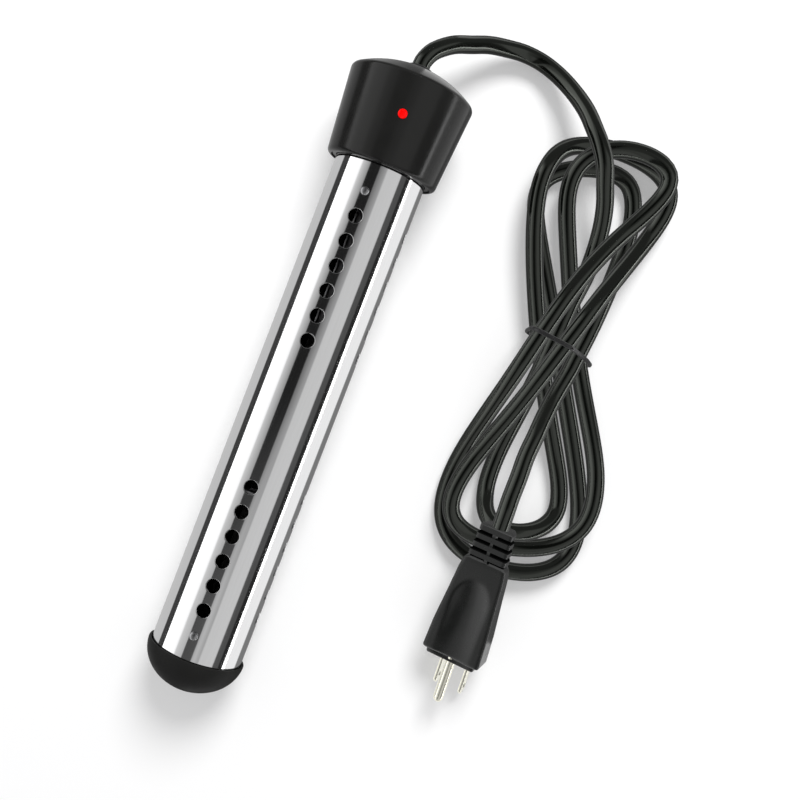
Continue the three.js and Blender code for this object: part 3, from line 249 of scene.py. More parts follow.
jacket, tree, shader, at = surface(
    "cord_jacket", (0.006, 0.007, 0.005), 0.09, specular_ior_level=0.55, ior=1.66)
mottled(tree, shader, at, 55, (0.0008, 0.001, 0.0008), (0.0028, 0.0034, 0.0026), (0.1, 0.18))
shader.inputs["Specular Tint"].default_value = (0.94, 1, 0.9, 1)
LAY_PITCH = 0.022
along = node(tree, "Mapping", {"Scale": (cord_length / LAY_PITCH, 3, 1), "Vector": at.outputs["UV"]})
lay = node(tree, "TexWave", {"Scale": 0.32, "Distortion": 0.6, "Detail": 1, "Vector": along.outputs[0]},
           wave_type="BANDS", bands_direction="DIAGONAL")
lay_relief = relief(tree, shader, lay.outputs["Fac"], 0.00008)
grained(tree, shader, at, 2600, 0.000008, 0.5, under=lay_relief)
cord_mesh = swept("mains_cord", cord_line, CORD_R, 24)
cord = placed("mains_cord", cord_mesh, jacket, "rubber", "cord_lead", "cord_hank", "plug_lead")

# Table and light: a white table in a bright room, with one large soft lamp beyond the cap's end.
# Long dark and light panels round the room, and plain bands that the table shows to mirrored rays alone,
# give the polished tube its stripes. These bands are painted reflection and painted shade: for mirrored
# rays the table drops its lit colour and shows grey levels set by its position, darkest beside the tube on
# its right, where they stand for shadow, and bright far off to the right and under the pins.
TABLE_HALF = 4
TABLE_GREY = (0.68, 0.68, 0.68)
TABLE_GLOW = 0.3
table = bpy.data.objects.new("table", bpy.data.meshes.new("table"))
bpy.context.scene.collection.objects.link(table)
bm = bmesh.new()
bmesh.ops.create_grid(bm, x_segments=1, y_segments=1, size=TABLE_HALF)
bm.to_mesh(table.data)
bm.free()
table_white, tree, shader, at = surface("table_white", TABLE_GREY, 0.9, specular_ior_level=0.0)
table.data.materials.append(table_white)


def maths(tree, operation, *terms):
    """A sum on node outputs and plain numbers."""
    return node(tree, "Math", dict(enumerate(terms)), operation=operation).outputs[0]


def greys(tree, factor, steps):
    """Grey that runs evenly from each (factor, level) step to the next."""
    ramp = node(tree, "ValToRGB", {"Fac": factor})
    while len(ramp.color_ramp.elements) < len(steps):
        ramp.color_ramp.elements.new(0.5)
    for element, (position, level) in zip(ramp.color_ramp.elements, steps):
        element.position = position
        element.color = (level, level, level, 1)
    return ramp.outputs["Color"]


def ranged(tree, value, start, end, **settings):
    """How far a value has come from start to end, as 0 to 1."""
    inputs = {"From Min": start, "From Max": end, "Value": value}
    return node(tree, "MapRange", inputs, **settings).outputs[0]


# Painted reflection on the table, for mirrored rays only: grey bands across it, a dark band as painted
# shade from beside the tube for rays under about 5 cm, and painted light far off on the right and under the
# pins.
BAND_REACH = 0.2
PAINTED_TABLE_BANDS = [(-0.18, 0.05), (-0.16, 0.56), (-0.03, 0.56), (-0.01, 0.2)]
NEAR_END, FAR_START = 0.047, 0.053
BRIGHT = (0.9, 0.9, 0.9)
PINS_X, PINS_Y = 0.075, -0.085
spot = node(tree, "SeparateXYZ", {"Vector": at.outputs["Object"]})
seen = tree.nodes.new("ShaderNodeLightPath")
mirrored = seen.outputs["Is Glossy Ray"]
across = ranged(tree, spot.outputs["X"], -BAND_REACH, BAND_REACH)
band_steps = [((x + BAND_REACH) / (2 * BAND_REACH), level) for x, level in PAINTED_TABLE_BANDS]
far_off = ranged(tree, seen.outputs["Ray Length"], NEAR_END, FAR_START)
right_side = maths(tree, "GREATER_THAN", spot.outputs["X"], 0.0)
far_right = maths(tree, "MULTIPLY", far_off, right_side)
before_plug = maths(tree, "LESS_THAN", spot.outputs["Y"], PINS_Y)
beside_foot = maths(tree, "GREATER_THAN", spot.outputs["X"], PINS_X)
under_pins = maths(tree, "MULTIPLY", before_plug, beside_foot)
bright_parts = maths(tree, "MAXIMUM", far_right, under_pins)
painted_reflection = blend(tree, bright_parts, greys(tree, across, band_steps), BRIGHT)
tree.links.new(blend(tree, mirrored, TABLE_GREY, (0, 0, 0)), shader.inputs["Base Color"])
tree.links.new(blend(tree, mirrored, (1, 1, 1), painted_reflection), shader.inputs["Emission Color"])
glow = maths(tree, "MULTIPLY_ADD", seen.outputs["Is Camera Ray"], TABLE_GLOW, mirrored)
tree.links.new(glow, shader.inputs["Emission Strength"])

LAMP_LEAN = math.radians(43)
LAMP_FAR, LAMP_WIDE, LAMP_WATTS = 2, 0.9, 36
SCENE_MIDDLE = Vector((0.04, 0, 0))
lamp_side = Vector((0.05 * math.sin(LAMP_LEAN), 0.999 * math.sin(LAMP_LEAN), math.cos(LAMP_LEAN)))
lamp = bpy.data.objects.new("key_lamp", bpy.data.lights.new("key_lamp", "AREA"))
lamp.data.shape = "DISK"
lamp.data.size = LAMP_WIDE
lamp.data.energy = LAMP_WATTS
lamp.location = SCENE_MIDDLE + LAMP_FAR * lamp_side
lamp.rotation_euler = lamp_side.to_track_quat("Z", "Y").to_euler()
lamp.visible_glossy = False
bpy.context.scene.collection.objects.link(lamp)

PANEL_EDGES = [
    (-91, 0.04), (-84, 0.04), (-83, 2.2), (-70, 1.3), (-46, 1.08), (-43, 0.62), (-25, 0.3),
    (-24, 0.014), (0, 0.014), (1, 0.15), (8, 0.24), (19, 0.36), (20, 0.58), (56, 0.6), (57, 0.08),
    (72, 0.08), (73, 0.02), (85, 0.02), (86, 6), (91, 6),
]
FOOT_END_PANELS = {-25: 0.5, -24: 0.07, 0: 0.08, 1: 0.42, 8: 0.5}
FOOT_END_FADE, CAP_END_FADE = (-0.08, -0.28), (0.45, 0.65)
CAP_END_GREY, ROOM_GREY = (0.15, 0.15, 0.15), (0.52, 0.52, 0.525)
world = bpy.data.worlds.new("studio")
bpy.context.scene.world = world
world.use_nodes = True
tree = world.node_tree
facing = tree.nodes.new("ShaderNodeTexCoord")
towards = node(tree, "SeparateXYZ", {"Vector": facing.outputs["Generated"]})
turn = maths(tree, "ARCTAN2", towards.outputs["X"], towards.outputs["Z"])
round_room = ranged(tree, turn, -math.pi, math.pi)
panels = []
for changes in ({}, FOOT_END_PANELS):
    steps = [(angle / 360 + 0.5, changes.get(angle, level)) for angle, level in PANEL_EDGES]
    panels.append(greys(tree, round_room, steps))
foot_end = ranged(tree, towards.outputs["Y"], *FOOT_END_FADE)
walls = blend(tree, foot_end, *panels)
cap_end = ranged(tree, towards.outputs["Y"], *CAP_END_FADE, interpolation_type="SMOOTHSTEP")
room = blend(tree, cap_end, walls, CAP_END_GREY)
seen = tree.nodes.new("ShaderNodeLightPath")
light = blend(tree, seen.outputs["Is Glossy Ray"], ROOM_GREY, room)
backdrop = blend(tree, seen.outputs["Is Camera Ray"], light, (1, 1, 1))
tree.links.new(backdrop, tree.nodes["Background"].inputs["Color"])

# Tie: a plastic-covered wire pulled tight round the waist of the hank, pressed flat to a black band
# about 2 mm wide.
TIE_R = 0.0007
TIE_SLANT = math.radians(15)
TIE_OFFSET = 0.001
TIE_SLACK = 0.00045
TIE_WIDENING = 0.5
SUPPORTS = 72
tie_turn = HANK_TURN - TIE_SLANT
tie_across = Vector((math.cos(tie_turn), math.sin(tie_turn), 0))
tie_along = Vector((-math.sin(tie_turn), math.cos(tie_turn), 0))
tie_centre = WAIST - TIE_OFFSET * tie_along
strands = []
for point in cord_line:
    off = max(0, abs((point - tie_centre).dot(tie_along)) - TIE_R)
    if off < CORD_R:
        strands.append(((point - tie_centre).dot(tie_across), point.z, math.sqrt(CORD_R**2 - off**2)))
pulls = []
for i in range(SUPPORTS):
    c, s = math.cos(i * 2 * math.pi / SUPPORTS), math.sin(i * 2 * math.pi / SUPPORTS)
    pulls.append((c, s, max(u * c + v * s + r for u, v, r in strands) + TIE_R + TIE_SLACK))
tie_line = []
for (c0, s0, h0), (c1, s1, h1) in zip(pulls, pulls[1:] + pulls[:1]):
    det = c0 * s1 - s0 * c1
    u, v = (h0 * s1 - h1 * s0) / det, (c0 * h1 - c1 * h0) / det
    tie_line.append(tie_centre + u * tie_across + Vector((0, 0, v)))
tie_mesh = swept("waist_tie", tie_line, TIE_R, 16, closed=True)
for vertex in tie_mesh.vertices:
    vertex.co += tie_along * (vertex.co - tie_centre).dot(tie_along) * TIE_WIDENING
tie_black, tree, shader, at = surface("tie_black", (0.012, 0.012, 0.012), 0.3)
mottled(tree, shader, at, 300, (0.008, 0.008, 0.008), (0.02, 0.02, 0.021), (0.22, 0.4))
placed("waist_tie", tie_mesh, tie_black, "tie_plastic", "cord_tie")

# Guard tube: thin stainless tube, polished lengthwise. Four rows of water holes are punched in it,
# six near the foot and six near the cap. It is riveted to the foot and to the header plate.
TUBE_START, TUBE_END = 0.0163, 0.262
TUBE_R = 0.021
TUBE_WALL = 0.001
HOLE_R = 0.0032
HOLE_PITCH = 0.0115
ROW_TURN = math.radians(-4)
LOWER_HOLES, UPPER_HOLES = 0.0415, 0.167
FOOT_RIVETS, TOP_RIVETS = 0.0297, 0.2358
RIVET_HOLE_R = 0.0015
RIVET_CELL = 0.008
HOLES = 6
CELL_STEPS = 8
ROLLED_EDGE = [(0.0003, 0), (0.00014, 0.00005), (0.00004, 0.00015), (0, 0.0003)]
MERGE = 2e-6
quarter = math.pi * TUBE_R / 2


def patch(bm, x, y, depth, columns, rows):
    """A flat grid between two x and two y values."""
    middle = Matrix.Translation(((x[0] + x[1]) / 2, (y[0] + y[1]) / 2, -depth))
    size = Matrix.Diagonal(((x[1] - x[0]) / 2, (y[1] - y[0]) / 2, 1, 1))
    bmesh.ops.create_grid(bm, x_segments=columns, y_segments=rows, size=1, matrix=middle @ size)


def punched(bm, x, y, depth, radius, edge):
    """A flat cell, eight steps a side, with a round hole whose edge rolls inwards through edge."""
    centre = Vector(((x[0] + x[1]) / 2, (y[0] + y[1]) / 2, -depth))
    place = Matrix.Translation(centre)
    start = radius + (edge[0][0] if edge else 0)
    ring = bmesh.ops.create_circle(bm, segments=4 * CELL_STEPS, radius=start, matrix=place)["verts"]
    border = bmesh.ops.create_circle(bm, segments=4 * CELL_STEPS, radius=1, matrix=place)["verts"]
    for vert in border:
        turn = math.atan2(vert.co.y - centre.y, vert.co.x - centre.x) + math.pi / 4
        side, t = divmod(turn / (math.pi / 2), 1)
        corner = Matrix.Rotation(side * math.pi / 2, 2) @ Vector((1, 2 * t - 1))
        vert.co = centre + Vector((corner.x * (x[1] - x[0]) / 2, corner.y * (y[1] - y[0]) / 2, 0))
    loops = {e for v in [*ring, *border] for e in v.link_edges}
    bmesh.ops.bridge_loops(bm, edges=list(loops))
    rim = [e for e in bm.edges if e.verts[0] in ring and e.verts[1] in ring] if edge else []
    for wider, deeper in [*edge[1:], (0, TUBE_WALL)] if edge else []:
        grown = bmesh.ops.extrude_edge_only(bm, edges=rim)["geom"]
        rim = [e for e in grown if isinstance(e, bmesh.types.BMEdge)]
        for vert in {v for e in rim for v in e.verts}:
            out = (vert.co - centre) * Vector((1, 1, 0))
            vert.co = centre + out.normalized() * (radius + wider) - Vector((0, 0, deeper))


lower_start, lower_end = LOWER_HOLES - HOLE_PITCH / 2, LOWER_HOLES + (HOLES - 0.5) * HOLE_PITCH
upper_start, upper_end = UPPER_HOLES - HOLE_PITCH / 2, UPPER_HOLES + (HOLES - 0.5) * HOLE_PITCH
bands = [
    (TUBE_START, 8, 0), (FOOT_RIVETS - RIVET_CELL / 2, CELL_STEPS, RIVET_HOLE_R),
    (FOOT_RIVETS + RIVET_CELL / 2, 2, 0), (lower_start, CELL_STEPS * HOLES, HOLE_R),
    (lower_end, 24, 0), (upper_start, CELL_STEPS * HOLES, HOLE_R),
    (upper_end, 2, 0), (TOP_RIVETS - RIVET_CELL / 2, CELL_STEPS, RIVET_HOLE_R),
    (TOP_RIVETS + RIVET_CELL / 2, 10, 0), (TUBE_END, 0, 0),
]
bm = bmesh.new()
for depth, edge in [(0, ROLLED_EDGE), (TUBE_WALL, [])]:
    for row in range(4):
        middle = TUBE_R * ROW_TURN + row * quarter
        cell = middle - HOLE_PITCH / 2, middle + HOLE_PITCH / 2
        plain = cell[1], cell[0] + quarter
        for (start, rows, radius), (end, _, _) in zip(bands, bands[1:]):
            patch(bm, plain, (start, end), depth, 16, rows)
            if radius == 0 or (radius == RIVET_HOLE_R and row % 2):
                patch(bm, cell, (start, end), depth, CELL_STEPS, rows)
                continue
            cells = rows // CELL_STEPS
            for i in range(cells):
                ends = [start + (end - start) * j / cells for j in (i, i + 1)]
                punched(bm, cell, ends, depth, radius, edge)
bmesh.ops.remove_doubles(bm, verts=bm.verts, dist=MERGE)
for end in (TUBE_START, TUBE_END):
    outer_edge = [e for e in bm.edges if all(v.co.z > -1e-6 and abs(v.co.y - end) < 1e-5 for v in e.verts)]
    folded = bmesh.ops.extrude_edge_only(bm, edges=outer_edge)["geom"]
    folded = [v for v in folded if isinstance(v, bmesh.types.BMVert)]
    bmesh.ops.translate(bm, verts=folded, vec=(0, 0, -TUBE_WALL))
for vert in bm.verts:
    turn, radius = vert.co.x / TUBE_R, TUBE_R + vert.co.z
    vert.co = (radius * math.sin(turn), vert.co.y, radius * math.cos(turn))
bmesh.ops.remove_doubles(bm, verts=bm.verts, dist=MERGE)
bmesh.ops.recalc_face_normals(bm, faces=bm.faces)


def finished(name, bm, place, sharp=35):
    """The mesh of a bmesh at its place, smooth but for edges sharper than this many degrees."""
    mesh = bpy.data.meshes.new(name)
    bm.to_mesh(mesh)
    bm.free()
    mesh.transform(place)
    mesh.shade_smooth()
    mesh.set_sharp_from_angle(angle=math.radians(sharp))
    return mesh


tube_mesh = finished("tube", bm, Matrix.Identity(4), 80)
for face in tube_mesh.polygons:
    face.material_index = int(math.hypot(face.center.x, face.center.z) < TUBE_R - 0.9 * TUBE_WALL)
outwards = []
for vertex in tube_mesh.vertices:
    outside = abs(math.hypot(vertex.co.x, vertex.co.z) - TUBE_R) < 1e-6
    outwards.append(Vector((vertex.co.x, 0, vertex.co.z)).normalized() if outside else Vector((0, 0, 0)))
tube_mesh.transform(heater_place)
tube_mesh.normals_split_custom_set_from_vertices([heater_place.to_3x3() @ normal for normal in outwards])
polished, tree, shader, at = surface("polished_stainless", (0.9, 0.9, 0.905), 0.08, 1.0)
streaks = mottled(tree, shader, at, 1400, (0.86, 0.86, 0.865), (0.93, 0.93, 0.935), (0.05, 0.1),
                  stretch=(1, 0.012, 1))
relief(tree, shader, streaks, 0.0000004)
# Inner faces: the same steel, rough and unpolished, with a dark grey that is painted shade for the inside
# of the tube.
bore, tree, shader, at = surface("tube_bore_shade", (0.1, 0.1, 0.1), 0.5, 1.0)
mottled(tree, shader, at, 500, (0.05, 0.05, 0.05), (0.16, 0.155, 0.15), (0.4, 0.6), stretch=(1, 0.05, 1))
tube = placed("stainless_tube", tube_mesh, polished, "stainless", "guard_tube")
tube.data.materials.append(bore)

# Foot: a black moulded stopper with a domed end. Its spigot sits inside the tube, and the tube's
# end stands in a shallow groove behind the dome's lip.
FOOT_R, FOOT_HEIGHT = 0.0225, 0.0185
FOOT_SKIN = 0.004
LIP_INNER_R = 0.0213
GROOVE_END = 0.016
SPIGOT_R, SPIGOT_BORE_R, SPIGOT_END = 0.0197, 0.0172, 0.0363


def turned(outline, steps=96):
    """A closed outline of (radius, height) points turned about the Y axis."""
    bm = bmesh.new()
    verts = [bm.verts.new((r, y, 0)) for r, y in outline]
    pairs = [pair for pair in zip(verts, verts[1:] + verts[:1]) if pair[0].co.x or pair[1].co.x]
    edges = [bm.edges.new(pair) for pair in pairs]
    bmesh.ops.spin(bm, geom=verts + edges, axis=(0, 1, 0), cent=(0, 0, 0), angle=2 * math.pi,
                   steps=steps, use_merge=True)
    bmesh.ops.remove_doubles(bm, verts=bm.verts, dist=1e-7)
    bmesh.ops.recalc_face_normals(bm, faces=bm.faces)
    return bm


def arc(centre, radius, start, end, steps):
    """Points of an arc, between two angles from the first axis, in degrees."""
    angles = [math.radians(start + (end - start) * i / steps) for i in range(steps + 1)]
    return [(max(0, centre[0] + radius * math.cos(a)), centre[1] + radius * math.sin(a)) for a in angles]


def rounded(corners, steps=5):
    """A closed outline through (a, b, radius) corners, with an arc at each that has a radius."""
    outline = []
    for i, (a, b, radius) in enumerate(corners):
        here = Vector((a, b, 0))
        if radius == 0:
            outline.append((a, b))
            continue
        back = (Vector((*corners[i - 1][:2], 0)) - here).normalized()
        ahead = (Vector((*corners[(i + 1) % len(corners)][:2], 0)) - here).normalized()
        half = back.angle(ahead) / 2
        centre = here + (back + ahead).normalized() * radius / math.sin(half)
        start = (here + back * radius / math.tan(half) - centre).normalized()
        end = (here + ahead * radius / math.tan(half) - centre).normalized()
        outline += [tuple((centre + radius * start.slerp(end, j / steps))[:2]) for j in range(steps + 1)]
    return outline


dome_turns = [i * math.pi / 2 / 24 for i in range(24)]
foot_outline = [(FOOT_R * math.sin(a), FOOT_HEIGHT * (1 - math.cos(a))) for a in dome_turns]
foot_outline += rounded([
    (FOOT_R - 0.0003, 0.0165, 0), (FOOT_R, FOOT_HEIGHT, 0.0004), (LIP_INNER_R, FOOT_HEIGHT, 0.0003),
    (LIP_INNER_R, GROOVE_END, 0), (SPIGOT_R, GROOVE_END, 0), (SPIGOT_R, SPIGOT_END, 0.0004),
    (SPIGOT_BORE_R, SPIGOT_END, 0.0004), (SPIGOT_BORE_R, FOOT_HEIGHT, 0),
])[1:]
inner_height = FOOT_HEIGHT - FOOT_SKIN
hollow_turns = [i * math.pi / 2 / 12 for i in range(1, 12)]
foot_outline += [
    (SPIGOT_BORE_R * math.cos(a), FOOT_HEIGHT - inner_height * math.sin(a)) for a in hollow_turns
]
foot_outline.append((0, FOOT_SKIN))
foot_black, tree, shader, at = surface("foot_black", (0.0145, 0.0145, 0.014), 0.5, specular_ior_level=0.06)
mottled(tree, shader, at, 90, (0.0135, 0.0135, 0.013), (0.0165, 0.0165, 0.016), (0.42, 0.55))
grained(tree, shader, at, 3400, 0.000015, 0.6)
foot_mesh = finished("domed_foot", turned(foot_outline), heater_place)
placed("domed_foot", foot_mesh, foot_black, "cap_plastic", "foot_cap")

# Rivets: four stainless rivets with low domed heads, two through tube and foot, two through tube
# and header plate.
RIVET_R, RIVET_HEAD_R, RIVET_HEAD = 0.0012, 0.0019, 0.001
HEAD_RIM, HEAD_SUNK = 0.0003, 0.00005
rivet_steel, tree, shader, at = surface("rivet_steel", (0.4, 0.4, 0.41), 0.3, 1.0)
mottled(tree, shader, at, 900, (0.33, 0.33, 0.34), (0.46, 0.46, 0.47), (0.24, 0.38))


def outward(s, turn):
    """The place of a piece whose own Y axis stands straight out of the heater's axis."""
    along_axis = heater_place @ Matrix.Translation((0, s, 0))
    return along_axis @ Matrix.Rotation(turn, 4, "Y") @ Matrix.Rotation(math.pi / 2, 4, "X")


tail, seat, rim_height = SPIGOT_BORE_R + 0.0003, TUBE_R - HEAD_SUNK, TUBE_R + HEAD_RIM
rivet_outline = [(0, tail), (RIVET_R, tail), (RIVET_R, seat), (RIVET_HEAD_R, seat)]
for a in (i * math.pi / 24 for i in range(12)):
    rivet_outline.append((RIVET_HEAD_R * math.cos(a), rim_height + RIVET_HEAD * math.sin(a) ** 0.7))
rivet_outline.append((0, rim_height + RIVET_HEAD))
for name, s, turn in [
    ("foot_rivet_front", FOOT_RIVETS, ROW_TURN), ("foot_rivet_back", FOOT_RIVETS, ROW_TURN + math.pi),
    ("top_rivet_front", TOP_RIVETS, ROW_TURN), ("top_rivet_back", TOP_RIVETS, ROW_TURN + math.pi),
]:
    rivet_mesh = finished(name, turned(rivet_outline, 32), outward(s, turn), 50)
    placed(name + "_head", rivet_mesh, rivet_steel, "stainless", name)

# Cap shell: black moulded cap with flared sides, a rounded shoulder and a low dome. Two bosses inside
# take the cord clamp's screws, and a hole in its side takes the lamp's lens.
CAP_RIM, CAP_RIM_R, RIM_CORNER = 0.2487, 0.0258, 0.0022
CAP_TOP_R, CORNER_R = 0.0289, 0.0022
DOME_R, DOME_CENTRE, SHELL_WALL = 0.051, 0.2466, 0.003
CORNER_S = DOME_CENTRE + math.sqrt((DOME_R - CORNER_R) ** 2 - (CAP_TOP_R - CORNER_R) ** 2)
INNER_CORNER, INNER_CORNER_R, INNER_TURN = (0.0229, 0.285337), 0.003, 59.4
EXIT_R, EXIT_CHAMFER = 0.0062, 0.0003
BORE_R, BORE_STEP = 0.0236, 0.268
BOSS_X, BOSS_R, PILOT_R = 0.0112, 0.0034, 0.0015
BOSS_START, PILOT_END, BOSS_END = 0.2813, 0.2901, 0.2941
LENS_S, LENS_TURN, LENS_R = 0.2709, math.radians(5), 0.002
shoulder_turn = math.degrees(math.atan2(CORNER_S - DOME_CENTRE, CAP_TOP_R - CORNER_R))
exit_turn = math.degrees(math.acos(EXIT_R / DOME_R))
inner_exit_turn = math.degrees(math.acos(EXIT_R / (DOME_R - SHELL_WALL)))
flare_lean = math.degrees(math.atan2(CAP_TOP_R - CAP_RIM_R, CORNER_S - CAP_RIM - RIM_CORNER))
shell_outline = [
    *arc((CAP_RIM_R - RIM_CORNER, CAP_RIM + RIM_CORNER), RIM_CORNER, -90, -flare_lean, 8),
    *arc((CAP_TOP_R - CORNER_R, CORNER_S), CORNER_R, -flare_lean, shoulder_turn, 12),
    *arc((0, DOME_CENTRE), DOME_R, shoulder_turn, exit_turn - 0.4, 12)[1:],
    (EXIT_R, DOME_CENTRE + DOME_R * math.sin(math.radians(exit_turn)) - EXIT_CHAMFER),
    *arc((0, DOME_CENTRE), DOME_R - SHELL_WALL, inner_exit_turn, INNER_TURN, 8),
    *arc(INNER_CORNER, INNER_CORNER_R, INNER_TURN, 0, 5)[1:],
    (BORE_R + 0.0007, BORE_STEP), (BORE_R, BORE_STEP),
]


def cut(mesh, *cutters):
    """The mesh with these closed meshes taken out of it."""
    blank = bpy.data.objects.new("blank", mesh)
    tools = [bpy.data.objects.new("tool", cutter) for cutter in cutters]
    for piece in (blank, *tools):
        bpy.context.scene.collection.objects.link(piece)
    for tool in tools:
        modifier = blank.modifiers.new("cut", "BOOLEAN")
        modifier.operation = "DIFFERENCE"
        modifier.object = tool
    made = bpy.data.meshes.new_from_object(blank.evaluated_get(bpy.context.evaluated_depsgraph_get()))
    for piece in (blank, *tools):
        bpy.data.objects.remove(piece)
    made.shade_smooth()
    made.set_sharp_from_angle(angle=math.radians(35))
    return made


def round_bar(radius, start, end):
    """A round bar along Y."""
    return turned([(0, start), (radius, start), (radius, end), (0, end)], 32)


lamp_hole = finished("lamp_hole", round_bar(LENS_R + 0.0001, 0.018, 0.034), outward(LENS_S, LENS_TURN))
shell_mesh = cut(finished("shell", turned(shell_outline, 128), heater_place), lamp_hole)
boss_outline = [
    (PILOT_R, BOSS_START), (BOSS_R, BOSS_START), (BOSS_R, BOSS_END), (0, BOSS_END), (0, PILOT_END),
    (PILOT_R, PILOT_END),
]
bm = bmesh.new()
bm.from_mesh(shell_mesh)
for side in (-1, 1):
    boss_place = heater_place @ Matrix.Translation((side * BOSS_X, 0, 0))
    bm.from_mesh(finished("boss", turned(boss_outline, 32), boss_place))
cap_mesh = finished("cap_moulding", bm, Matrix.Identity(4))
moulded_black, tree, shader, at = surface(
    "moulded_black", (0.0125, 0.0125, 0.012), 0.2, specular_ior_level=0.25)
mottled(tree, shader, at, 90, (0.011, 0.011, 0.0105), (0.014, 0.014, 0.0135), (0.16, 0.23))
grained(tree, shader, at, 4200, 0.000012, 0.6, detail=2)
placed("cap_moulding", cap_mesh, moulded_black, "cap_plastic", "cap_shell")

# Cap base: black moulded ring cup on the tube's end. The shell is bonded to it, and only its lower
# rim shows, set back a little between tube and shell.
BASE_R, BASE_START, BASE_TOP, LEDGE_R = 0.0233, 0.2492, 0.266, 0.017
LEDGE = TUBE_END + 0.0003
base_outline = rounded([
    (LIP_INNER_R, BASE_START, 0.0003), (BASE_R, BASE_START, 0.0004), (BASE_R, BASE_TOP, 0.0003),
    (LEDGE_R, BASE_TOP, 0.0003), (LEDGE_R, LEDGE, 0), (LIP_INNER_R, LEDGE, 0),
])
ring_mesh = finished("cap_ring", turned(base_outline), heater_place)
placed("cap_ring", ring_mesh, moulded_black, "cap_plastic", "cap_base")

# Cord bush: a soft rubber sleeve in the crown's hole, held by its flange under the dome. Only its
# chamfered lip shows round the cord.
BUSH_BORE_R, BUSH_R, BUSH_START, BUSH_LIP = 0.0044, 0.0059, 0.283, 0.0012
FLANGE_R, FLANGE = 0.0076, 0.0022
flange_top = DOME_CENTRE + math.sqrt((DOME_R - SHELL_WALL) ** 2 - FLANGE_R**2) - 0.0003
bush_outline = rounded([
    (BUSH_BORE_R, BUSH_START, 0), (BUSH_R, BUSH_START, 0.0004), (BUSH_R, flange_top - FLANGE, 0),
    (FLANGE_R, flange_top - FLANGE, 0.0003), (FLANGE_R, flange_top, 0.0003), (BUSH_R, flange_top, 0),
    (BUSH_R, CAP_TOP + BUSH_LIP, 0.0009), (BUSH_BORE_R, CAP_TOP + BUSH_LIP, 0.0002),
])
bush_rubber, tree, shader, at = surface("bush_rubber", (0.012, 0.012, 0.012), 0.5)
mottled(tree, shader, at, 400, (0.009, 0.009, 0.009), (0.02, 0.02, 0.02), (0.4, 0.6))
bush_mesh = finished("crown_sleeve", turned(bush_outline, 64), heater_place)
placed("crown_sleeve", bush_mesh, bush_rubber, "rubber", "cord_bush")

# Lamp lens: a small red button of clear plastic, pressed into the hole in the shell's side. It stands just
# proud of the side with a low dome. The heater is unplugged, so the diode behind it is dark, and the lens's
# red glow is painted light.
LENS_START, LENS_RISE, LENS_DOME = 0.0226, 0.0002, 0.0006
up_flare = (LENS_S - CAP_RIM - RIM_CORNER) / (CORNER_S - CAP_RIM - RIM_CORNER)
lens_edge = CAP_RIM_R + (CAP_TOP_R - CAP_RIM_R) * up_flare + LENS_RISE
lens_outline = [(0, LENS_START), (LENS_R, LENS_START), (LENS_R, lens_edge)]
for a in (i * math.pi / 16 for i in range(1, 8)):
    lens_outline.append((LENS_R * math.cos(a), lens_edge + LENS_DOME * math.sin(a)))
lens_outline.append((0, lens_edge + LENS_DOME))
lens_red, tree, shader, at = surface("lens_red", (0.85, 0.0, 0.0), 0.2, specular_ior_level=0.2)
mottled(tree, shader, at, 500, (0.8, 0, 0), (0.9, 0.002, 0.001), (0.12, 0.2))
# Painted light: the lens glows red by its own emission.
shader.inputs["Emission Color"].default_value = (1, 0, 0, 1)
shader.inputs["Emission Strength"].default_value = 0.45
lens_mesh = finished("lamp_lens", turned(lens_outline, 48), outward(LENS_S, LENS_TURN))
placed("lamp_lens", lens_mesh, lens_red, "lamp_red", "indicator_lens")

# Plug body: one moulding over the cord's end. Its flat top and bottom each have a thumb scoop, its
# lower edges are chamfered, a step at the front leaves a narrower nose, and its neck is slotted to bend.
PLUG_CORNER = 0.001
SCOOP_HALF, SCOOP_END, SCOOP_DEEPEST, SCOOP_DEPTH = 0.0088, 0.038, 0.026, 0.0021
SIDE_WALL_SHARE, FLOOR_SHARE, SCOOP_AT_FRONT = 1.05, 0.7, 0.35
NECK_START, NECK_RIBS, RIB_PITCH = 0.0462, 4, 0.004075
NECK_HALF, NECK_HEIGHT, NECK_TAPER = 0.009, 0.0066, 0.04
FULL, SLOTTED = (1, 1), (0.93, 0.72)
SLOT_WIDE, WEB_HALF, WEB_HEIGHT = 0.0015, 0.0009, 0.97
plug_sections = [
    (-0.002, 0.0116, 0.0102), (-0.0016, 0.0118, 0.0104), (0, 0.0119, 0.0105), (0.0001, 0.0133, 0.011),
    (0.0005, 0.0138, 0.0114), (0.0012, 0.014, 0.0116), (0.014, 0.0134, 0.0108), (0.03, 0.0119, 0.0089),
    (0.041, 0.011, 0.0076), (0.045, 0.0103, 0.007), (0.0458, 0.0099, 0.0067), (0.0462, 0.009, 0.0061),
]
rib_sections = [(0.0003, SLOTTED), (0.0013, SLOTTED), (0.0016, FULL), (0.0018, FULL), (0.0039, FULL)]


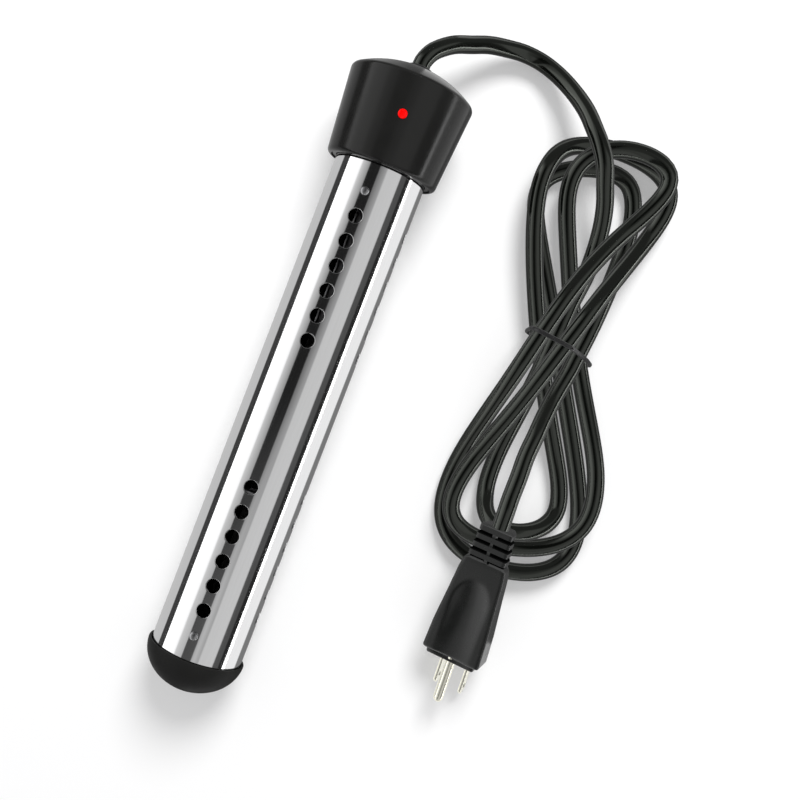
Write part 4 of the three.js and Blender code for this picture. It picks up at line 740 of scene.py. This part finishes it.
def plug_ring(bm, y, half, height, squeeze=FULL):
    """One section of the plug: flat top, square upper corners, upright sides and chamfered foot."""
    low = height * (1 - SIDE_WALL_SHARE)
    right = [(half, height, PLUG_CORNER), (half, low, PLUG_CORNER * 1.4)]
    right.append((half * FLOOR_SHARE, -height, PLUG_CORNER * 1.6))
    left = [(-a, b, radius) for a, b, radius in reversed(right)]
    corners = rounded([(0, height, 0), *right, (0, -height, 0), *left], 4)
    points = []
    for (a0, b0), (a1, b1) in zip(corners, corners[1:] + corners[:1]):
        long = math.hypot(a1 - a0, b1 - b0) > PLUG_CORNER
        count = (18 if b0 == b1 else 10) if long else 1
        points += [(a0 + (a1 - a0) * i / count, b0 + (b1 - b0) * i / count) for i in range(count)]
    verts = []
    for x, z in points:
        if -0.001 < y < SCOOP_END and abs(z) > 0.9 * height:
            wide = (x / SCOOP_HALF) ** 2 + (max(0, y - SCOOP_DEEPEST) / (SCOOP_END - SCOOP_DEEPEST)) ** 2
            lengthwise = min(1, SCOOP_AT_FRONT + (1 - SCOOP_AT_FRONT) * max(0, y) / SCOOP_DEEPEST)
            z -= math.copysign(SCOOP_DEPTH * max(0, 1 - wide) * lengthwise, z)
        web = abs(x) < WEB_HALF and squeeze[1] < 1
        verts.append(bm.verts.new((x * squeeze[0], y, z * (WEB_HEIGHT if web else squeeze[1]))))
    return [bm.edges.new(pair) for pair in zip(verts, verts[1:] + verts[:1])]


def eased_sections(sections, step):
    """The sections with more of them between, at about every step."""
    for (y0, a0, b0), (y1, a1, b1) in zip(sections, sections[1:]):
        count = max(1, round((y1 - y0) / step))
        for i in range(count):
            t = i / count
            yield y0 + (y1 - y0) * t, a0 + (a1 - a0) * t, b0 + (b1 - b0) * t
    yield sections[-1]


bm = bmesh.new()
rings = [plug_ring(bm, *section) for section in eased_sections(plug_sections, 0.001)]
for i in range(NECK_RIBS):
    y, taper = NECK_START + i * RIB_PITCH, 1 - NECK_TAPER * i
    for at_y, squeeze in rib_sections:
        rings.append(plug_ring(bm, y + at_y, NECK_HALF * taper, NECK_HEIGHT * taper, squeeze))
rings.append(plug_ring(bm, 0.0625, 0.0074, 0.0054))
for ring, following in zip(rings, rings[1:]):
    bmesh.ops.bridge_loops(bm, edges=ring + following)
bmesh.ops.contextual_create(bm, geom=rings[0])
bmesh.ops.contextual_create(bm, geom=rings[-1])
bmesh.ops.recalc_face_normals(bm, faces=bm.faces)


def block(bm, middle, halves):
    """A box round a middle, with these half sizes."""
    place = Matrix.Translation(middle) @ Matrix.Diagonal((*halves, 1))
    bmesh.ops.create_cube(bm, size=2, matrix=place)


INSERT_Z = -0.0046
PIN_Z, PIN_HOLE_R, PIN_HOLE_END = 0.0073, 0.0026, 0.0078
pocket = bmesh.new()
block(pocket, (0, 0, INSERT_Z), (0.0094, 0.0093, 0.0043))
pin_place = plug_place @ Matrix.Translation((0, 0, PIN_Z))
plug_mesh = cut(finished("plug_shell", bm, plug_place), finished("pocket", pocket, plug_place),
                finished("pin_hole", round_bar(PIN_HOLE_R, -0.004, PIN_HOLE_END), pin_place))
# Faces inside the neck's slots, not the web across them, take painted shade: a near-black dull finish that
# stands in for the shadow within the slots.
for face in plug_mesh.polygons:
    x, y, _ = plug_place.inverted() @ face.center
    in_slot = y > NECK_START + 0.0002 and (y - NECK_START) % RIB_PITCH < SLOT_WIDE
    face.material_index = int(in_slot and abs(x) > 0.001)
plug_black, tree, shader, at = surface("plug_black", (0.01, 0.0105, 0.01), 0.24, specular_ior_level=0.55)
mottled(tree, shader, at, 160, (0.0055, 0.006, 0.0055), (0.0095, 0.01, 0.0095), (0.2, 0.3))
grained(tree, shader, at, 2400, 0.00003, 0.6)
# Painted shade for the slots: near black, with no reflection.
painted_slot_shade, tree, shader, at = surface("painted_slot_shade", (0.003, 0.003, 0.003), 0.8, specular_ior_level=0.0)
mottled(tree, shader, at, 700, (0.002, 0.002, 0.002), (0.005, 0.005, 0.005), (0.7, 0.9))
plug = placed("plug_moulding", plug_mesh, plug_black, "plug_plastic", "plug_body")
plug.data.materials.append(painted_slot_shade)

# Plug insert: a hard black bridge moulded round the roots of the two blades. The plug's body is
# moulded over it in turn, so that only its flat front shows between them.


def bevelled(bm, edges, width, segments):
    """The edges taken off to this width."""
    bmesh.ops.bevel(bm, geom=edges, offset=width, offset_type="OFFSET", segments=segments, profile=0.5,
                    affect="EDGES", material=-1)


bm = bmesh.new()
block(bm, (0, 0.0035, INSERT_Z), (0.0092, 0.0055, 0.0041))
bevelled(bm, bm.edges[:], 0.0004, 3)
insert_mesh = finished("blade_bridge", bm, plug_place)
placed("blade_bridge", insert_mesh, plug_black, "plug_plastic", "plug_insert")

# Blades: two flat brass blades with nickel plating, stamped from strip. Each is chamfered at the tip
# and has a round hole near it.
BLADE_X, BLADE_Z = 0.00635, -0.0046
BLADE_THICK, BLADE_WIDE, BLADE_ROOT, BLADE_TIP = 0.0015, 0.00635, 0.0075, -0.0202
BLADE_HOLE_R, BLADE_HOLE_Y = 0.0016, -0.016
TIP_CHAMFER, EDGE_ROUND = 0.0016, 0.00025
nickel, tree, shader, at = surface("nickel_plate", (0.93, 0.91, 0.78), 0.24, 1.0)
scratches = mottled(tree, shader, at, 700, (0.88, 0.86, 0.73), (0.96, 0.94, 0.82), (0.16, 0.26),
                    stretch=(1, 0.15, 1))
relief(tree, shader, scratches, 0.0000005)
blade_middle, blade_half = (BLADE_ROOT + BLADE_TIP) / 2, (BLADE_ROOT - BLADE_TIP) / 2
for side, x in (("left", -BLADE_X), ("right", BLADE_X)):
    bm = bmesh.new()
    block(bm, (0, blade_middle, 0), (BLADE_THICK / 2, blade_half, BLADE_WIDE / 2))
    across_tip = [e for e in bm.edges if abs(e.verts[0].co.x - e.verts[1].co.x) > BLADE_THICK / 2]
    bevelled(bm, [e for e in across_tip if e.verts[0].co.y < 0], TIP_CHAMFER, 1)
    bevelled(bm, bm.edges[:], EDGE_ROUND, 3)
    place = plug_place @ Matrix.Translation((x, 0, BLADE_Z))
    hole = Matrix.Translation((0, BLADE_HOLE_Y, 0)) @ Matrix.Rotation(math.pi / 2, 4, "Z")
    tool = finished("blade_hole", round_bar(BLADE_HOLE_R, -0.003, 0.003), place @ hole)
    blade_mesh = cut(finished("blade", bm, place), tool)
    placed(f"{side}_blade", blade_mesh, nickel, "pin_nickel", f"plug_blade_{side}")

# Earth pin: brass strip rolled round and nickel-plated, with a round nose. The strip's seam runs
# along its top.
PIN_R, PIN_TIP, PIN_ROOT, PIN_NOSE = 0.002375, -0.0234, 0.0075, 0.0026
pin_outline = [(0, PIN_TIP), (PIN_R * 0.35, PIN_TIP + 0.0001)]
for a in (i * math.pi / 2 / 10 for i in range(2, 11)):
    pin_outline.append((PIN_R * math.sin(a) ** 0.8, PIN_TIP + PIN_NOSE * (1 - math.cos(a))))
pin_outline += [(PIN_R, PIN_ROOT), (0, PIN_ROOT)]
seam = bmesh.new()
block(seam, (0, -0.0114, PIN_R), (0.00035, 0.0092, 0.001))
pin_mesh = cut(finished("pin", turned(pin_outline, 64), pin_place), finished("seam", seam, pin_place))
placed("earth_pin", pin_mesh, nickel, "pin_nickel", "plug_earth_pin")

# Inside pieces keep the model's shape. Each group gets the finish of its real material: two colours,
# two roughnesses, metal or not, and how fine its pattern is.
inside = {
    # The element's sheath is darker than its oxide alone: its near black is partly oxide and partly painted
    # shade for the inside of the tube.
    "oxidised_sheath": ((0.01, 0.0095, 0.009), (0.024, 0.022, 0.02), (0.6, 0.8), 1.0, 260, [
        "heating_element"]),
    "pressed_steel": ((0.45, 0.45, 0.46), (0.6, 0.6, 0.61), (0.28, 0.46), 1.0, 350, [
        "header_plate", "element_spacer_lower", "element_spacer_upper", "thermowell", "terminal_pin_left",
        "terminal_pin_right", "clamp_screw_left", "clamp_screw_right"]),
    "turned_brass": ((0.7, 0.56, 0.28), (0.82, 0.69, 0.4), (0.22, 0.38), 1.0, 500, [
        "earth_stud", "earth_nut"]),
    "soft_copper": ((0.62, 0.34, 0.2), (0.78, 0.5, 0.33), (0.26, 0.44), 1.0, 420, [
        "crimp_sleeve_left", "crimp_sleeve_right", "thermostat_bulb", "capillary", "earth_lug"]),
    "ring_rubber": ((0.02, 0.02, 0.02), (0.04, 0.04, 0.04), (0.5, 0.7), 0.0, 600, ["header_seal"]),
    "cast_resin": ((0.012, 0.014, 0.02), (0.026, 0.029, 0.038), (0.1, 0.28), 0.0, 160, ["potting_disc"]),
    "white_ceramic": ((0.8, 0.77, 0.7), (0.9, 0.88, 0.82), (0.55, 0.75), 0.0, 700, [
        "element_bush_left", "element_bush_right"]),
    "clamp_nylon": ((0.72, 0.7, 0.61), (0.82, 0.8, 0.72), (0.4, 0.55), 0.0, 200, ["cord_clamp"]),
    "lamp_diode": ((0.7, 0.005, 0.004), (0.86, 0.012, 0.01), (0.1, 0.2), 0.0, 300, ["indicator_led"]),
    "board_resist": ((0.04, 0.2, 0.09), (0.08, 0.31, 0.15), (0.3, 0.45), 0.0, 900, ["lamp_board"]),
    "switch_case": ((0.11, 0.095, 0.08), (0.19, 0.165, 0.14), (0.45, 0.6), 0.0, 500, ["thermostat_switch"]),
    "fuse_ceramic": ((0.46, 0.42, 0.3), (0.57, 0.53, 0.4), (0.5, 0.65), 0.0, 500, ["thermal_fuse"]),
    "black_insulation": ((0.012, 0.012, 0.012), (0.03, 0.03, 0.03), (0.3, 0.45), 0.0, 300, [
        "live_wire", "fuse_feed_wire", "fuse_link_wire"]),
    "white_insulation": ((0.74, 0.74, 0.71), (0.84, 0.84, 0.81), (0.3, 0.45), 0.0, 300, ["neutral_wire"]),
    "green_insulation": ((0.03, 0.28, 0.09), (0.06, 0.38, 0.14), (0.3, 0.45), 0.0, 300, ["earth_wire"]),
}
for name, (darker, paler, roughness, metal, scale, pieces) in inside.items():
    material, tree, shader, at = surface(name, paler, roughness[0], metal)
    relief(tree, shader, mottled(tree, shader, at, scale, darker, paler, roughness), 0.00001, 0.5)
    for piece in pieces:
        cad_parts[piece].data.materials.clear()
        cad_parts[piece].data.materials.append(material)

# The cord lies loose, held only at the cap, with its tie and its plug on it. The polished tube mirrors none
# of them.
for piece in (
    "mains_cord", "waist_tie", "plug_moulding", "blade_bridge", "left_blade", "right_blade", "earth_pin",
):
    bpy.data.objects[piece].visible_glossy = False
